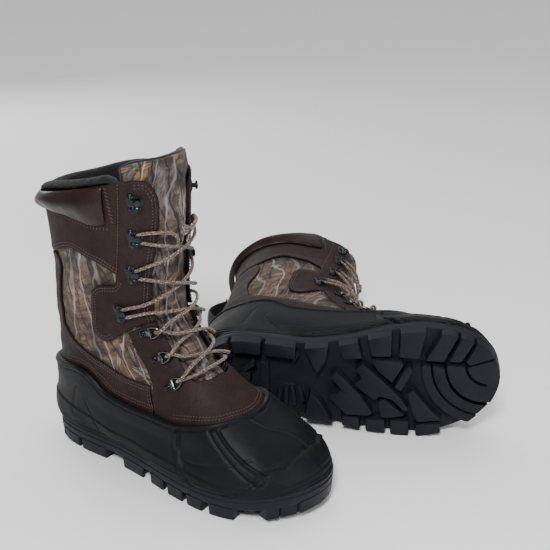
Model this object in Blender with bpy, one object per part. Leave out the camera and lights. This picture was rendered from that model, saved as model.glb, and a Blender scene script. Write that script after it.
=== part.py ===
"""A pair of men's insulated lace-up hunting boots, one standing and one lying on its outer side.

Each boot is modelled once in its own frame (millimetres: x forward from the heel, y towards the
inner ankle, z up from the ground) and placed by a parent empty. The left boot's empty mirrors y.
"""
import math

import bmesh
import bpy
import numpy as np
from mathutils import Matrix, Vector
from mathutils.geometry import delaunay_2d_cdt

MM = 0.001

# ---------------------------------------------------------------- driving dimensions, millimetres
SOLE_LENGTH = 316.0
STANDING_YAW = -35.0                       # degrees, toe swung towards -Y
STANDING_PLACE = (-217.0, -174.0)
LYING_YAW = -6.5
LYING_ROLL = -88.0                         # on its outer side
LYING_PLACE = (-83.0, -194.0)

LINER_OUT, LINER_IN = -5.0, -10.5          # layers, measured outwards from the fabric shaft's face
FABRIC_OUT, FABRIC_IN = -1.6, -3.4
LEATHER_OUT, LEATHER_IN = 1.8, 0.0
VAMP_OUT, VAMP_IN = 2.8, 1.2
PAD_IN, PAD_CROWN = 3.3, 6.5
SHELL_OUT, SHELL_IN = 7.2, 4.2

PLATE_TOP, PLATE_BOTTOM = 24.0, 11.5       # outsole plate above the ground, under the arch
LUG_OVERLAP = 1.2
TOE_SPRING, SPRING_FROM = 10.0, 235.0
INSOLE_INSET, INSOLE_THICK = 14.0, 2.2
SHANK_SIZE = (110.0, 20.0, 1.2)
FOOTBED_OUT, FOOTBED_IN = -13.0, -16.0

LACE_RADIUS = 1.5
RING_WIRE = 1.0
RING_REACH, RING_HALF_WIDTH, RING_TILT = 10.0, 5.2, 12.0
CLIP_INNER, CLIP_THICK, CLIP_WIDTH = 1.45, 0.9, 4.8
CLIP_SEAT = 3.3                            # underside of a clip above the fabric's face
HOOK_SEAT = 2.3
RIVET_BEHIND = 7.0
STEM_RADIUS, STEM_CLEARANCE = 1.3, 0.6       # and the hole round it
HEAD_TAPER = 0.55                          # a rivet head's top against its foot
STEM_DROP = 0.5                            # the form falls away under a flat clip
TAPE_MIDDLE = -0.66                        # reinforcement tape between the fabric and the vamp
NECK_X, NECK_HALF = 8.0, 2.2
HOOK_HEIGHT = 5.9
LACE_IN_HOOK = 2.9                         # lace centre above a hook's underside
FAR_STOP = 55.0                            # past this angle the lace needs one more point over the leather
THROAT = 8.7                               # section at which the tongue joins the vamp
TONGUE_GAP = 15.0                          # degrees left open in the liner on each side of the tongue
LINER_END = {"outer": 14.9, "inner": 14.2} # sections at which the sock's toe closes
LACE_OVER = {"middle": 9.4, "side": 8.4, "end": 8.8}     # lace centre above the form where it lies on top
LACE_UNDER = {"middle": 5.3, "side": 5.6, "end": 5.4}    # and where it lies below the other half

# Tread: runs of lugs along the outsole's edge as start and end on SOLE, count, depth and share left as gap,
# then bars as centre x, y, length, width and turn in degrees.
EDGE_LUGS = [(4.95, 9.5, 8, 21, 0.24), (9.55, 12.45, 4, 17, 0.24), (12.5, 16.9, 8, 20, 0.24),
             (-1.95, 3.85, 6, 17, 0.2), (18.25, 20.0, 2, 16, 0.2)]
FOREFOOT_BARS, BAR_PITCH = [(176, -13, 30, 9, 52), (184, 14, 27, 9, -40)], (27, 2.5)
CROSS_BARS = [(284, 8, 8, 44, 0), (42, 0, 30, 10, 0), (70, 1, 9, 34, 0)]

# Sections from above the collar (-1) round the heel and instep to the toe (16):
# front point, back point (x, z), half width, sideways shift and roundness of each.
FRONT = [(158, 322), (157, 300), (156, 264), (155, 228), (155, 198), (157, 174), (162, 153), (170, 138),
         (180, 126), (191, 116), (203, 107), (215, 97), (229, 87), (245, 75), (264, 64), (282, 55),
         (297, 46), (305, 36)]
BACK = [(-1, 288), (3, 264), (7, 232), (8, 196), (7, 160), (5, 130), (3, 98), (3, 66), (9, 36), (45, 24),
        (95, 24), (145, 24), (190, 24), (228, 24), (258, 25), (280, 27), (295, 30), (304, 33)]
HALF_WIDTH = [56, 54, 52, 49, 46, 44, 42.5, 42, 41.5, 41.5, 42, 44, 46, 46, 43, 37, 27, 7]
SHIFT = [0, 0, 0, 0, 0, 0, 0, 0, 0, 0, 0, 0, 0, 1, 3, 5, 6, 7]
ROUNDNESS = [2.15, 2.15, 2.15, 2.15, 2.15, 2.15, 2.2, 2.3, 2.4, 2.4, 2.4, 2.35, 2.3, 2.25, 2.2, 2.2, 2.15, 2.0]

# Plan of the outsole, outer side first, from the back of the heel.
SOLE = [(0, 0), (5, -22), (22, -38), (55, -45), (100, -46), (145, -51), (185, -58), (222, -61), (258, -56),
        (288, -42), (308, -20), (316, 6), (310, 30), (294, 47), (268, 58), (235, 62), (200, 57), (160, 45),
        (118, 38), (75, 41), (35, 41), (10, 25)]

# Rubber shell: (section, angle) of its top line, of the turn into the welt, and the welt's plan point.
SHELL_TOP = [(5.4, 180), (5.45, 150), (5.6, 125), (5.85, 104), (6.5, 93), (7.6, 89), (8.7, 85), (9.7, 79),
             (10.4, 64), (11.0, 47), (11.35, 28), (11.58, 12), (11.65, 0)]
SHELL_TURN = [(6.95, 180), (7.2, 150), (7.5, 128), (7.9, 120), (8.5, 122), (9.3, 125), (10.1, 125),
              (10.8, 125), (11.7, 125), (12.7, 120), (13.8, 112), (14.8, 100), (15.9, 0)]
WELT_OUTER = [(2, 0), (16, -33), (50, -43.5), (85, -44.5), (112, -46), (140, -49), (172, -55), (198, -58.5),
              (226, -59.5), (258, -54.5), (284, -43), (304, -22), (314.5, 6)]
WELT_INNER = [(2, 0), (18, 33), (50, 40.5), (85, 39), (112, 37), (140, 40), (170, 47), (198, 55),
              (228, 60.5), (262, 58), (289, 48.5), (307, 32), (314.5, 6)]

# Leather outlines on the outer half, as (section, angle from the front centre line).
CUFF_FRONT = [(0.0, 66), (0.0, 40), (0.25, 27), (0.6, 21), (1.35, 22), (1.95, 26), (3.15, 33), (3.9, 35.5),
              (4.45, 33)]
CUFF_SEAM = [(4.5, 46), (4.6, 60)]
CUFF_TAB = [(4.9, 73), (5.0, 80), (4.75, 86), (4.4, 89), (3.5, 88), (2.95, 86), (2.75, 81), (2.8, 72),
            (2.8, 66), (2.45, 63)]
CUFF_LOWER = [(2.1, 75), (1.88, 86), (1.65, 96), (1.62, 108), (1.72, 118), (1.75, 135), (1.75, 180)]
FOXING_UPPER = [(1.82, 180), (1.82, 135), (1.84, 124), (2.4, 121), (3.1, 127), (3.65, 126), (4.45, 120),
                (4.9, 107), (5.3, 98), (5.8, 88), (6.8, 74), (7.6, 63)]
FOXING_FRONT = [(8.15, 71), (8.7, 80), (9.2, 92)]
FOXING_LOWER = [(8.6, 97), (7.6, 101), (6.7, 105), (6.3, 115), (6.05, 135), (5.95, 155), (5.9, 180)]
VAMP_SIDE = [(4.72, 59.5), (5.5, 58), (6.45, 56), (7.6, 60.5), (8.15, 68.5), (8.75, 78), (9.25, 89),
             (10.0, 88)]
VAMP_LOWER = [(10.8, 74), (11.4, 56), (11.85, 35), (12.1, 16), (12.15, 0)]
VAMP_THROAT = [(8.95, 0), (8.8, 16), (8.55, 27), (8.1, 31), (7.5, 28), (5.85, 28), (5.1, 31), (4.52, 33.5)]
FABRIC_EDGE = [(0.12, 60), (0.3, 32), (1.35, 27), (3.15, 38), (4.45, 37), (5.85, 33), (7.5, 33), (8.2, 38),
               (8.8, 60), (8.9, 80), (8.5, 93), (7.5, 97), (6.6, 101), (6.2, 115), (6.0, 135), (5.85, 180)]

HOOKS = [(0.6, 44), (1.5, 46), (2.52, 50), (3.88, 64)]       # top to bottom, rivet line
RINGS = [(4.9, 41), (6.35, 40), (8.1, 46)]                   # top to bottom, hinge
PULL_LOOP_BULGE = {"right": 6.0, "left": 14.0}

COLOURS = {
    "rubber": ((0.018, 0.018, 0.02), 0.55, 0.0),
    "outsole": ((0.022, 0.022, 0.024), 0.62, 0.0),
    "board": ((0.35, 0.28, 0.2), 0.9, 0.0),
    "steel": ((0.5, 0.5, 0.52), 0.35, 1.0),
    "felt": ((0.03, 0.03, 0.033), 0.95, 0.0),
    "footbed": ((0.07, 0.07, 0.075), 0.9, 0.0),
    "leather": ((0.075, 0.04, 0.03), 0.55, 0.0),
    "pad_leather": ((0.1, 0.05, 0.042), 0.35, 0.0),
    "camouflage": ((0.2, 0.17, 0.14), 0.8, 0.0),
    "webbing": ((0.02, 0.02, 0.022), 0.8, 0.0),
    "lace": ((0.3, 0.19, 0.12), 0.75, 0.0),
    "hardware": ((0.12, 0.125, 0.13), 0.3, 1.0),
}


# ---------------------------------------------------------------- the boot's form
def spline(values, t):
    """Catmull-Rom curve through equally spaced values, at the parameter t."""
    values = np.asarray(values, float)
    last = len(values) - 1
    t = np.clip(np.asarray(t, float), 0.0, last - 1e-9)
    k = np.floor(t).astype(int)
    f = t - k
    if values.ndim > 1:
        f = f[..., None]
    p0, p1, p2, p3 = (values[np.clip(k + step, 0, last)] for step in (-1, 0, 1, 2))
    return 0.5 * (2 * p1 + (p2 - p0) * f + (2 * p0 - 5 * p1 + 4 * p2 - p3) * f ** 2
                  + (3 * p1 - p0 - 3 * p2 + p3) * f ** 3)


def closed_spline(values, t):
    """The same curve through a closed ring of values."""
    values = np.asarray(values, float)
    count = len(values)
    t = np.asarray(t, float) % count
    k = np.floor(t).astype(int)
    f = (t - k)[..., None]
    p0, p1, p2, p3 = (values[(k + step) % count] for step in (-1, 0, 1, 2))
    return 0.5 * (2 * p1 + (p2 - p0) * f + (2 * p0 - 5 * p1 + 4 * p2 - p3) * f ** 2
                  + (3 * p1 - p0 - 3 * p2 + p3) * f ** 3)


def form(section, angle, off=0.0):
    """Point on the boot's form. Angle 0 is the front centre line, positive is the outer side."""
    section, angle, off = np.broadcast_arrays(*(np.asarray(v, float) for v in (section, angle, off)))

    def at(s, a):
        front = spline(FRONT, s + 1)
        back = spline(BACK, s + 1)
        power = 2.0 / spline(ROUNDNESS, s + 1)
        turn = np.radians(a)
        c = np.sign(np.cos(turn)) * np.abs(np.cos(turn)) ** power
        w = np.sign(np.sin(turn)) * np.abs(np.sin(turn)) ** power
        xz = (front + back) / 2 + (front - back) / 2 * c[..., None]
        return np.stack([xz[..., 0], spline(SHIFT, s + 1) - spline(HALF_WIDTH, s + 1) * w, xz[..., 1]], -1)

    du = at(np.clip(section + 0.02, -1, 16), angle) - at(np.clip(section - 0.02, -1, 16), angle)
    da = at(section, angle + 1.0) - at(section, angle - 1.0)
    normal = np.cross(da, du)
    normal /= np.linalg.norm(normal, axis=-1, keepdims=True) + 1e-12
    return at(section, angle) + normal * off[..., None]


def spring(x):
    """Rise of the sole towards the toe."""
    return TOE_SPRING * np.clip((np.asarray(x, float) - SPRING_FROM) / (SOLE_LENGTH - SPRING_FROM), 0, 2) ** 2


def sole_outline(t, inset=0.0):
    """Plan point on the outsole's edge, moved inwards by the inset."""
    t = np.asarray(t, float)
    point = closed_spline(SOLE, t)
    along = closed_spline(SOLE, t + 0.05) - closed_spline(SOLE, t - 0.05)
    along /= np.linalg.norm(along, axis=-1, keepdims=True)
    inward = np.stack([-along[..., 1], along[..., 0]], -1)
    return point + inward * inset


def mirrored(run):
    """The same outline on the inner half, in reverse order."""
    return [(s, -a) for s, a in reversed(run)]


def around_back(run):
    """The same outline on the inner half, with angles past the back of the heel."""
    return [(s, 360 - a) for s, a in reversed(run)]


# ---------------------------------------------------------------- mesh building
def new_object(name, bm, colour, parent):
    bmesh.ops.recalc_face_normals(bm, faces=bm.faces)
    mesh = bpy.data.meshes.new(name)
    bm.to_mesh(mesh)
    bm.free()
    return mesh_object(name, mesh, colour, parent)


def mesh_object(name, mesh, colour, parent):
    item = bpy.data.objects.new(name, mesh)
    bpy.context.scene.collection.objects.link(item)
    item.parent = parent
    if not mesh.materials:
        mesh.materials.append(material(name, colour))
    mesh.shade_smooth()
    mesh.set_sharp_from_angle(angle=math.radians(35))
    return item


def material(name, colour):
    base, rough, metal = COLOURS[colour]
    made = bpy.data.materials.new(name)
    made.use_nodes = True
    shader = made.node_tree.nodes["Principled BSDF"]
    shader.inputs["Base Color"].default_value = (*base, 1.0)
    shader.inputs["Roughness"].default_value = rough
    shader.inputs["Metallic"].default_value = metal
    made.diffuse_color = (*base, 1.0)
    return made


def add_points(bm, points):
    return [bm.verts.new(Vector(p) * MM) for p in np.asarray(points).reshape(-1, 3).tolist()]


def grid_solid(outer, inner, wrap):
    """Closed solid between two grids of points (rows, columns); wrap joins the last column to the first."""
    rows, cols = outer.shape[:2]
    bm = bmesh.new()
    skins = []
    for grid in (outer, inner):
        flat = add_points(bm, grid)
        skins.append([flat[r * cols:(r + 1) * cols] for r in range(rows)])
    spans = cols if wrap else cols - 1
    for skin in skins:
        for r in range(rows - 1):
            for c in range(spans):
                n = (c + 1) % cols
                bm.faces.new((skin[r][c], skin[r][n], skin[r + 1][n], skin[r + 1][c]))
    out, back = skins
    for r in (0, rows - 1):
        for c in range(spans):
            n = (c + 1) % cols
            bm.faces.new((out[r][c], out[r][n], back[r][n], back[r][c]))
    if not wrap:
        for c in (0, cols - 1):
            for r in range(rows - 1):
                bm.faces.new((out[r][c], out[r + 1][c], back[r + 1][c], back[r][c]))
    return bm


def resample(points, step):
    """Points every step along a closed polygon, its own corners kept."""
    points = np.asarray(points, float)
    result = []
    for p, q in zip(points, np.roll(points, -1, axis=0)):
        parts = max(1, int(round(np.linalg.norm(q - p) / step)))
        result += [p + (q - p) * k / parts for k in range(parts)]
    return np.array(result)


def inside(points, polygon):
    """Which points lie in the polygon."""
    x, y = points[:, 0], points[:, 1]
    found = np.zeros(len(points), bool)
    for (x0, y0), (x1, y1) in zip(polygon, np.roll(polygon, -1, axis=0)):
        crosses = (y0 > y) != (y1 > y)
        with np.errstate(divide="ignore", invalid="ignore"):
            found ^= crosses & (x < (x1 - x0) * (y - y0) / (y1 - y0) + x0)
    return found


def sheet_solid(polygon, step, to_outer, to_inner):
    """Closed solid from a flat outline: both faces are triangulated on one lattice and then shaped."""
    edge = resample(polygon, step)
    low, high = edge.min(0), edge.max(0)
    gx, gy = np.meshgrid(np.arange(low[0], high[0], step), np.arange(low[1], high[1], step))
    lattice = np.column_stack([gx.ravel(), gy.ravel()])
    lattice = lattice[inside(lattice, edge)]
    gap = np.min(np.linalg.norm(lattice[:, None] - edge[None], axis=2), axis=1)
    lattice = lattice[gap > 0.55 * step]
    coords = [Vector(p) for p in np.vstack([edge, lattice]).tolist()]
    flat, _, faces, _, _, _ = delaunay_2d_cdt(coords, [], [list(range(len(edge)))], 1, 1e-5)
    flat = np.array([tuple(v) for v in flat])
    bm = bmesh.new()
    top = add_points(bm, to_outer(flat))
    base = add_points(bm, to_inner(flat))
    uses = {}
    for face in faces:
        bm.faces.new([top[v] for v in face])
        bm.faces.new([base[v] for v in reversed(face)])
        for a, b in zip(face, face[1:] + face[:1]):
            uses[(a, b)] = uses.get((a, b), 0) + 1
    for a, b in uses:
        if (b, a) not in uses:
            bm.faces.new((top[b], top[a], base[a], base[b]))
    return bm


ANGLE_SCALE = 0.85                         # millimetres for a degree round the shaft
SECTION_SCALE = 12.0                       # lattice units for a section, long triangles down the shaft
PANEL_STEP = 13.0


def panel(outline, off_in, off_out):
    """Closed solid of a leather or fabric panel wrapped on the form."""
    polygon = np.array([(a * ANGLE_SCALE, s * SECTION_SCALE) for s, a in outline], float)

    def shaped(off):
        return lambda flat: form(flat[:, 1] / SECTION_SCALE, flat[:, 0] / ANGLE_SCALE, off)

    return sheet_solid(polygon, PANEL_STEP, shaped(off_out), shaped(off_in))


def prism(outline, low, high):
    """Upright prism on a plan outline."""
    bm = bmesh.new()
    base = add_points(bm, [(x, y, low) for x, y in outline])
    face = bm.faces.new(base)
    made = bmesh.ops.extrude_face_region(bm, geom=[face])["geom"]
    for v in made:
        if isinstance(v, bmesh.types.BMVert):
            v.co.z = high * MM
    return bm


def bend(bm, shaped):
    """Move every vertex by a function of its place in millimetres."""
    for v in bm.verts:
        v.co = Vector(shaped(*(v.co / MM))) * MM
    return bm


def merge(target, other, matrix=None):
    """Add another bmesh's body to the target, placed by the matrix."""
    mesh = bpy.data.meshes.new("merge")
    bmesh.ops.recalc_face_normals(other, faces=other.faces)
    if matrix is not None:
        bmesh.ops.transform(other, matrix=matrix, verts=other.verts)
    other.to_mesh(mesh)
    other.free()
    target.from_mesh(mesh)
    bpy.data.meshes.remove(mesh)


def boolean(bm, others, operation, overlapping=False):
    """Union or difference with several bodies, applied; overlapping says that one of them crosses itself."""
    base = loose_object(bm)
    cutters = [loose_object(other) for other in others]
    for cutter in cutters:
        step = base.modifiers.new("step", "BOOLEAN")
        step.object = cutter
        step.operation = operation
        step.solver = "EXACT"
        step.use_self = overlapping
    bpy.context.view_layer.update()
    result = bpy.data.meshes.new_from_object(base.evaluated_get(bpy.context.evaluated_depsgraph_get()))
    for item in [base] + cutters:
        bpy.data.objects.remove(item)
    return result


def loose_object(bm):
    bmesh.ops.recalc_face_normals(bm, faces=bm.faces)
    mesh = bpy.data.meshes.new("body")
    bm.to_mesh(mesh)
    bm.free()
    item = bpy.data.objects.new("body", mesh)
    bpy.context.scene.collection.objects.link(item)
    return item


def surface_matrix(section, angle, off):
    """Frame on the form in metres: X to the front centre line, Z outwards."""
    origin = Vector(form(section, angle, off).tolist()) * MM
    side = 1.0 if angle > 0 else -1.0
    ahead = Vector((form(section, angle - 2 * side) - form(section, angle + 2 * side)).tolist()).normalized()
    up = Vector((form(section, angle, 1.0) - form(section, angle, 0.0)).tolist()).normalized()
    across = up.cross(ahead).normalized()
    ahead = across.cross(up)
    return Matrix.Translation(origin) @ Matrix((ahead, across, up)).transposed().to_4x4()


# ---------------------------------------------------------------- sole unit
def edge_lugs(start, end, count, depth, gap):
    """Plan outlines of the lugs along the outsole's edge."""
    lugs = []
    pitch = (end - start) / count
    for k in range(count):
        t = np.linspace(start + pitch * (k + gap / 2), start + pitch * (k + 1 - gap / 2), 3)
        lugs.append(np.vstack([sole_outline(t, 1.0), sole_outline(t[::-1], depth)]))
    return lugs


def bar(x, y, length, width, turn):
    """Plan outline of a straight tread bar."""
    c, s = math.cos(math.radians(turn)), math.sin(math.radians(turn))
    corners = [(-length / 2, -width / 2), (length / 2, -width / 2), (length / 2, width / 2), (-length / 2, width / 2)]
    return [(x + u * c - v * s, y + u * s + v * c) for u, v in corners]


def tread():
    """Plan outlines of every lug under the outsole."""
    lugs = [lug for run in EDGE_LUGS for lug in edge_lugs(*run)]
    for x, y, length, width, turn in FOREFOOT_BARS:
        for k in range(4):
            lugs.append(bar(x + BAR_PITCH[0] * k, y + BAR_PITCH[1] * k, length, width, turn))
    return lugs + [bar(*values) for values in CROSS_BARS]


def outsole(parent, side):
    outline = sole_outline(np.linspace(0, len(SOLE), 44, endpoint=False))

    def level(height):
        return lambda flat: np.column_stack([flat, height + spring(flat[:, 0])])

    plate = sheet_solid(outline, 24.0, level(PLATE_TOP), level(PLATE_BOTTOM))
    lugs = bmesh.new()
    for outline in tread():
        lug = prism(outline, 0.0, PLATE_BOTTOM + LUG_OVERLAP)
        merge(lugs, bend(lug, lambda x, y, z: (x, y, z + float(spring(x)))))
    mesh_object(side + "_outsole", boolean(plate, [lugs], "UNION", True), "outsole", parent)


def shell_skin(off, inset, rows):
    """One face of the rubber shell as a grid: rows from the top line to the welt, columns round the boot."""
    stations = np.linspace(0, len(SHELL_TOP) - 1, 17)
    halves = []
    for sign, welt in ((1, WELT_OUTER), (-1, WELT_INNER)):
        top = spline(SHELL_TOP, stations)
        turn = spline(SHELL_TURN, stations)
        edge = spline(welt, stations)
        middle = np.array([150.0, 2.0])
        inward = middle - edge
        inward[:, 0] *= 0.35
        inward /= np.linalg.norm(inward, axis=1, keepdims=True)
        edge = edge + inward * inset
        welt_z = PLATE_TOP + 0.4 + spring(edge[:, 0])
        foot = np.column_stack([edge, welt_z])
        low = form(turn[:, 0], sign * turn[:, 1], off)
        grid = []
        for h in np.linspace(0, 1, rows):
            at = top + (turn - top) * h
            flare = np.clip((h - 0.35) / 0.65, 0, 1)
            flare = flare * flare * (3 - 2 * flare)
            grid.append(form(at[:, 0], sign * at[:, 1], off) + (foot - low) * flare)
        halves.append(np.array(grid))
    return np.concatenate([halves[0], halves[1][:, -2:0:-1]], axis=1)


def rubber_shell(parent, side):
    bm = grid_solid(shell_skin(SHELL_OUT, 0.0, 7), shell_skin(SHELL_IN, 3.4, 7), True)
    new_object(side + "_rubber_shell", bm, "rubber", parent)


def flat_board(inset, low, high, first, last):
    """Slab under the foot between two lengths along the sole."""
    outline = sole_outline(np.linspace(0, len(SOLE), 30, endpoint=False), inset)
    outline[:, 0] = np.clip(outline[:, 0], first, last)

    def level(height):
        return lambda flat: np.column_stack([flat, height + spring(flat[:, 0])])

    return sheet_solid(outline, 26.0, level(high), level(low))


def inner_sole(parent, side):
    board_low = PLATE_TOP + SHANK_SIZE[2] + 0.8
    board = flat_board(INSOLE_INSET, board_low, board_low + INSOLE_THICK, 16.0, 292.0)
    new_object(side + "_insole_board", board, "board", parent)
    length, width, thick = SHANK_SIZE
    corners = [(70, -width / 2), (70 + length, -width / 2 + 2), (70 + length, width / 2 + 2), (70, width / 2)]
    shank = prism(corners, PLATE_TOP + 0.4, PLATE_TOP + 0.4 + thick)
    new_object(side + "_shank", shank, "steel", parent)


# ---------------------------------------------------------------- liner
def tongue_half_angle(section):
    return np.interp(section, [-1, 2, 4, 6, 8, 9], [41, 38, 36, 32, 28, 26])


def liner(parent, side):
    angles = np.linspace(0, 360, 18, endpoint=False)

    def sock(off, end):
        sections = np.concatenate([np.linspace(-0.12, 8, 7), np.linspace(9.5, end, 4)])
        return form(sections[:, None], angles[None, :], off)

    outer, inner = sock(LINER_OUT, LINER_END["outer"]), sock(LINER_IN, LINER_END["inner"])
    bm = bmesh.new()
    cols = len(angles)
    skins = []
    for grid in (outer, inner):
        flat = add_points(bm, grid)
        skin = [flat[r * cols:(r + 1) * cols] for r in range(len(grid))]
        for r in range(len(grid) - 1):
            for c in range(cols):
                n = (c + 1) % cols
                bm.faces.new((skin[r][c], skin[r][n], skin[r + 1][n], skin[r + 1][c]))
        bm.faces.new(skin[-1])
        skins.append(skin)
    for c in range(cols):
        n = (c + 1) % cols
        bm.faces.new((skins[0][0][c], skins[0][0][n], skins[1][0][n], skins[1][0][c]))
    sections = np.linspace(-0.9, THROAT + 0.05, 7)
    half = tongue_half_angle(sections) + TONGUE_GAP
    fan = np.linspace(-1, 1, 5)
    gap = grid_solid(form(sections[:, None], half[:, None] * fan, 4.0),
                     form(sections[:, None], half[:, None] * fan, -17.0), False)
    mesh_object(side + "_liner", boolean(bm, [gap], "DIFFERENCE"), "felt", parent)


def footbed(parent, side):
    """Cushioned insole on the liner's floor."""
    sections = np.linspace(8.0, 13.2, 9)[:, None]
    angles = np.linspace(137, 223, 7)
    bm = grid_solid(form(sections, angles, FOOTBED_OUT), form(sections, angles, FOOTBED_IN), False)
    new_object(side + "_footbed", bm, "footbed", parent)


# ---------------------------------------------------------------- upper
def upper(parent, side):
    fabric = FABRIC_EDGE + around_back(FABRIC_EDGE)[1:]
    new_object(side + "_camo_quarters", panel(fabric, FABRIC_IN, FABRIC_OUT), "camouflage", parent)

    half = CUFF_FRONT + CUFF_SEAM + CUFF_TAB + CUFF_LOWER
    cuff = half + around_back(half)[1:]
    new_object(side + "_cuff", panel(cuff, LEATHER_IN, LEATHER_OUT), "leather", parent)

    half = FOXING_UPPER + FOXING_FRONT + FOXING_LOWER
    foxing = half + around_back(half)[1:-1]
    new_object(side + "_foxing", panel(foxing, LEATHER_IN, LEATHER_OUT), "leather", parent)

    half = VAMP_THROAT + VAMP_SIDE + VAMP_LOWER
    vamp = half + mirrored(half)[1:-1]
    solid = panel(vamp, VAMP_IN, VAMP_OUT)
    holes = []
    for section, angle in RINGS:
        for sign in (1, -1):
            hole = rivet_stem(-RIVET_BEHIND, STEM_RADIUS + STEM_CLEARANCE, -6.0, 6.0)
            place = surface_matrix(section, sign * angle, CLIP_SEAT)
            bmesh.ops.transform(hole, matrix=place, verts=hole.verts)
            holes.append(hole)
    mesh_object(side + "_vamp", boolean(solid, holes, "DIFFERENCE"), "leather", parent)


def collar_pad(parent, side):
    angles = np.linspace(66, 294, 15)
    folded = np.minimum(angles, 360 - angles)
    lower = np.interp(folded, [64, 80, 97, 120, 180], [1.12, 1.0, 0.7, 0.54, 0.48])
    down = np.linspace(0, 1, 5)
    ends = np.clip((folded - 64) / 9.0, 0, 1) ** 0.5
    sections = 0.0 + lower[None, :] * down[:, None]
    crown = np.sin(np.pi * down)[:, None] ** 0.6 * ends[None, :]
    outer = form(sections, angles[None, :] + 0 * sections, PAD_IN + 0.8 + PAD_CROWN * crown)
    inner = form(sections, angles[None, :] + 0 * sections, PAD_IN)
    new_object(side + "_collar_pad", grid_solid(outer, inner, False), "pad_leather", parent)


def tongue(parent, side):
    """Padded tongue, hinged where it is sewn to the vamp; the origin is on that line."""
    sections = np.linspace(-0.75, THROAT, 11)
    fan = np.linspace(-1, 1, 7)
    angle = tongue_half_angle(sections)[:, None] * fan
    crown = np.clip(1 - (np.abs(angle) / 23.0) ** 4, 0, 1) * np.clip((THROAT - sections) / 1.5, 0, 1)[:, None]
    outer = form(sections[:, None], angle, -5.0 + 4.6 * crown)
    inner = form(sections[:, None], angle, -10.0)
    hinge = form(THROAT, 0, -7.5)
    bm = grid_solid(outer - hinge, inner - hinge, False)
    item = new_object(side + "_tongue", bm, "camouflage", parent)
    item.location = Vector(hinge.tolist()) * MM


def pull_loop(parent, side):
    """Webbing loop on the backstay, sewn down at both ends."""
    heights = np.linspace(0, 1, 11)
    sections = 2.75 + 1.95 * heights
    arch = np.clip(np.sin(np.pi * np.clip((heights - 0.12) / 0.76, 0, 1)), 0, 1) ** 0.8
    lift = LEATHER_OUT + 0.7 + PULL_LOOP_BULGE[side] * arch
    angles = np.linspace(180 - 13, 180 + 13, 3)
    skins = []
    for extra in (2.0, 0.0):
        rows = []
        for k, section in enumerate(sections):
            flat = form(section, angles, LEATHER_OUT + 0.7 + extra)
            rows.append(flat - np.array([1.0, 0, 0]) * (lift[k] - LEATHER_OUT - 0.7))
        skins.append(np.array(rows))
    new_object(side + "_pull_loop", grid_solid(skins[0], skins[1], False), "webbing", parent)


# ---------------------------------------------------------------- hardware
def rivet_stem(x, radius, low, high):
    """Six-sided stem along Z at x."""
    bm = bmesh.new()
    place = Matrix.Translation((x * MM, 0, (low + high) / 2 * MM))
    bmesh.ops.create_cone(bm, cap_ends=True, segments=6, radius1=radius * MM, radius2=radius * MM,
                          depth=(high - low) * MM, matrix=place)
    return bm


def rivet_head(x, y, base, radius, height):
    """Tapered head at (x, y)."""
    bm = bmesh.new()
    place = Matrix.Translation((x * MM, y * MM, (base + height / 2) * MM))
    bmesh.ops.create_cone(bm, cap_ends=True, segments=8, radius1=radius * MM, radius2=radius * HEAD_TAPER * MM,
                          depth=height * MM, matrix=place)
    return bm


def strip_profile(path, thick, half_width):
    """Metal strip of even thickness along a path in XZ, as wide as stated along Y."""
    path = np.asarray(path, float)
    along = np.gradient(path, axis=0)
    along /= np.linalg.norm(along, axis=1, keepdims=True)
    normal = np.column_stack([-along[:, 1], along[:, 0]])
    ring = np.vstack([path + normal * thick / 2, (path - normal * thick / 2)[::-1]])
    bm = bmesh.new()
    face = bm.faces.new(add_points(bm, [(x, -half_width, z) for x, z in ring]))
    made = bmesh.ops.extrude_face_region(bm, geom=[face])["geom"]
    for v in made:
        if isinstance(v, bmesh.types.BMVert):
            v.co.y = half_width * MM
    return bm


def hook_mesh():
    """Open speed hook: plate with two rivets, a neck and a lip that opens away from the tongue."""
    outline = []
    for x, y, radius, first, last in ((0, -5.5, 4.2, 150, 300), (NECK_X + 0.6, -1.6, 1.8, 300, 360),
                                      (NECK_X + 0.6, 1.6, 1.8, 0, 60), (0, 5.5, 4.2, 60, 210)):
        for turn in np.linspace(math.radians(first), math.radians(last), 3):
            outline.append((x + radius * math.cos(turn), y + radius * math.sin(turn)))
    plate = prism(outline, 0.0, 1.0)
    neck = [(NECK_X, 0.5), (NECK_X, 4.6), (NECK_X - 0.9, HOOK_HEIGHT - 0.55), (NECK_X - 5.0, HOOK_HEIGHT - 0.45),
            (NECK_X - 8.2, HOOK_HEIGHT + 0.4)]
    lip = strip_profile(neck, 1.1, NECK_HALF)
    heads = [rivet_head(0, y, 0.6, 3.3, 2.3) for y in (-5.5, 5.5)]
    return boolean(plate, [lip] + heads, "UNION")


def ring_mesh():
    """D-shaped wire ring; its straight bar lies along Y through the origin."""
    turns = np.linspace(-90, 90, 8)
    bend_points = [(RING_REACH * math.cos(math.radians(t)), RING_HALF_WIDTH * math.sin(math.radians(t)))
                   for t in turns]
    path = np.array(bend_points + [(0.0, 2.4), (0.0, -2.4)])
    count, sides = len(path), 5
    bm = bmesh.new()
    rings = []
    for k in range(count):
        along = path[(k + 1) % count] - path[k - 1]
        along /= np.linalg.norm(along)
        out = np.array([along[1], -along[0]])
        rings.append([bm.verts.new((float(path[k][0] + out[0] * RING_WIRE * math.cos(s)) * MM,
                                    float(path[k][1] + out[1] * RING_WIRE * math.cos(s)) * MM,
                                    RING_WIRE * math.sin(s) * MM))
                      for s in (2 * math.pi * n / sides for n in range(sides))])
    for k in range(count):
        near, far = rings[k], rings[(k + 1) % count]
        for s in range(sides):
            bm.faces.new((near[s], near[(s + 1) % sides], far[(s + 1) % sides], far[s]))
    bmesh.ops.recalc_face_normals(bm, faces=bm.faces)
    mesh = bpy.data.meshes.new("d_ring")
    bm.to_mesh(mesh)
    bm.free()
    return mesh


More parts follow.
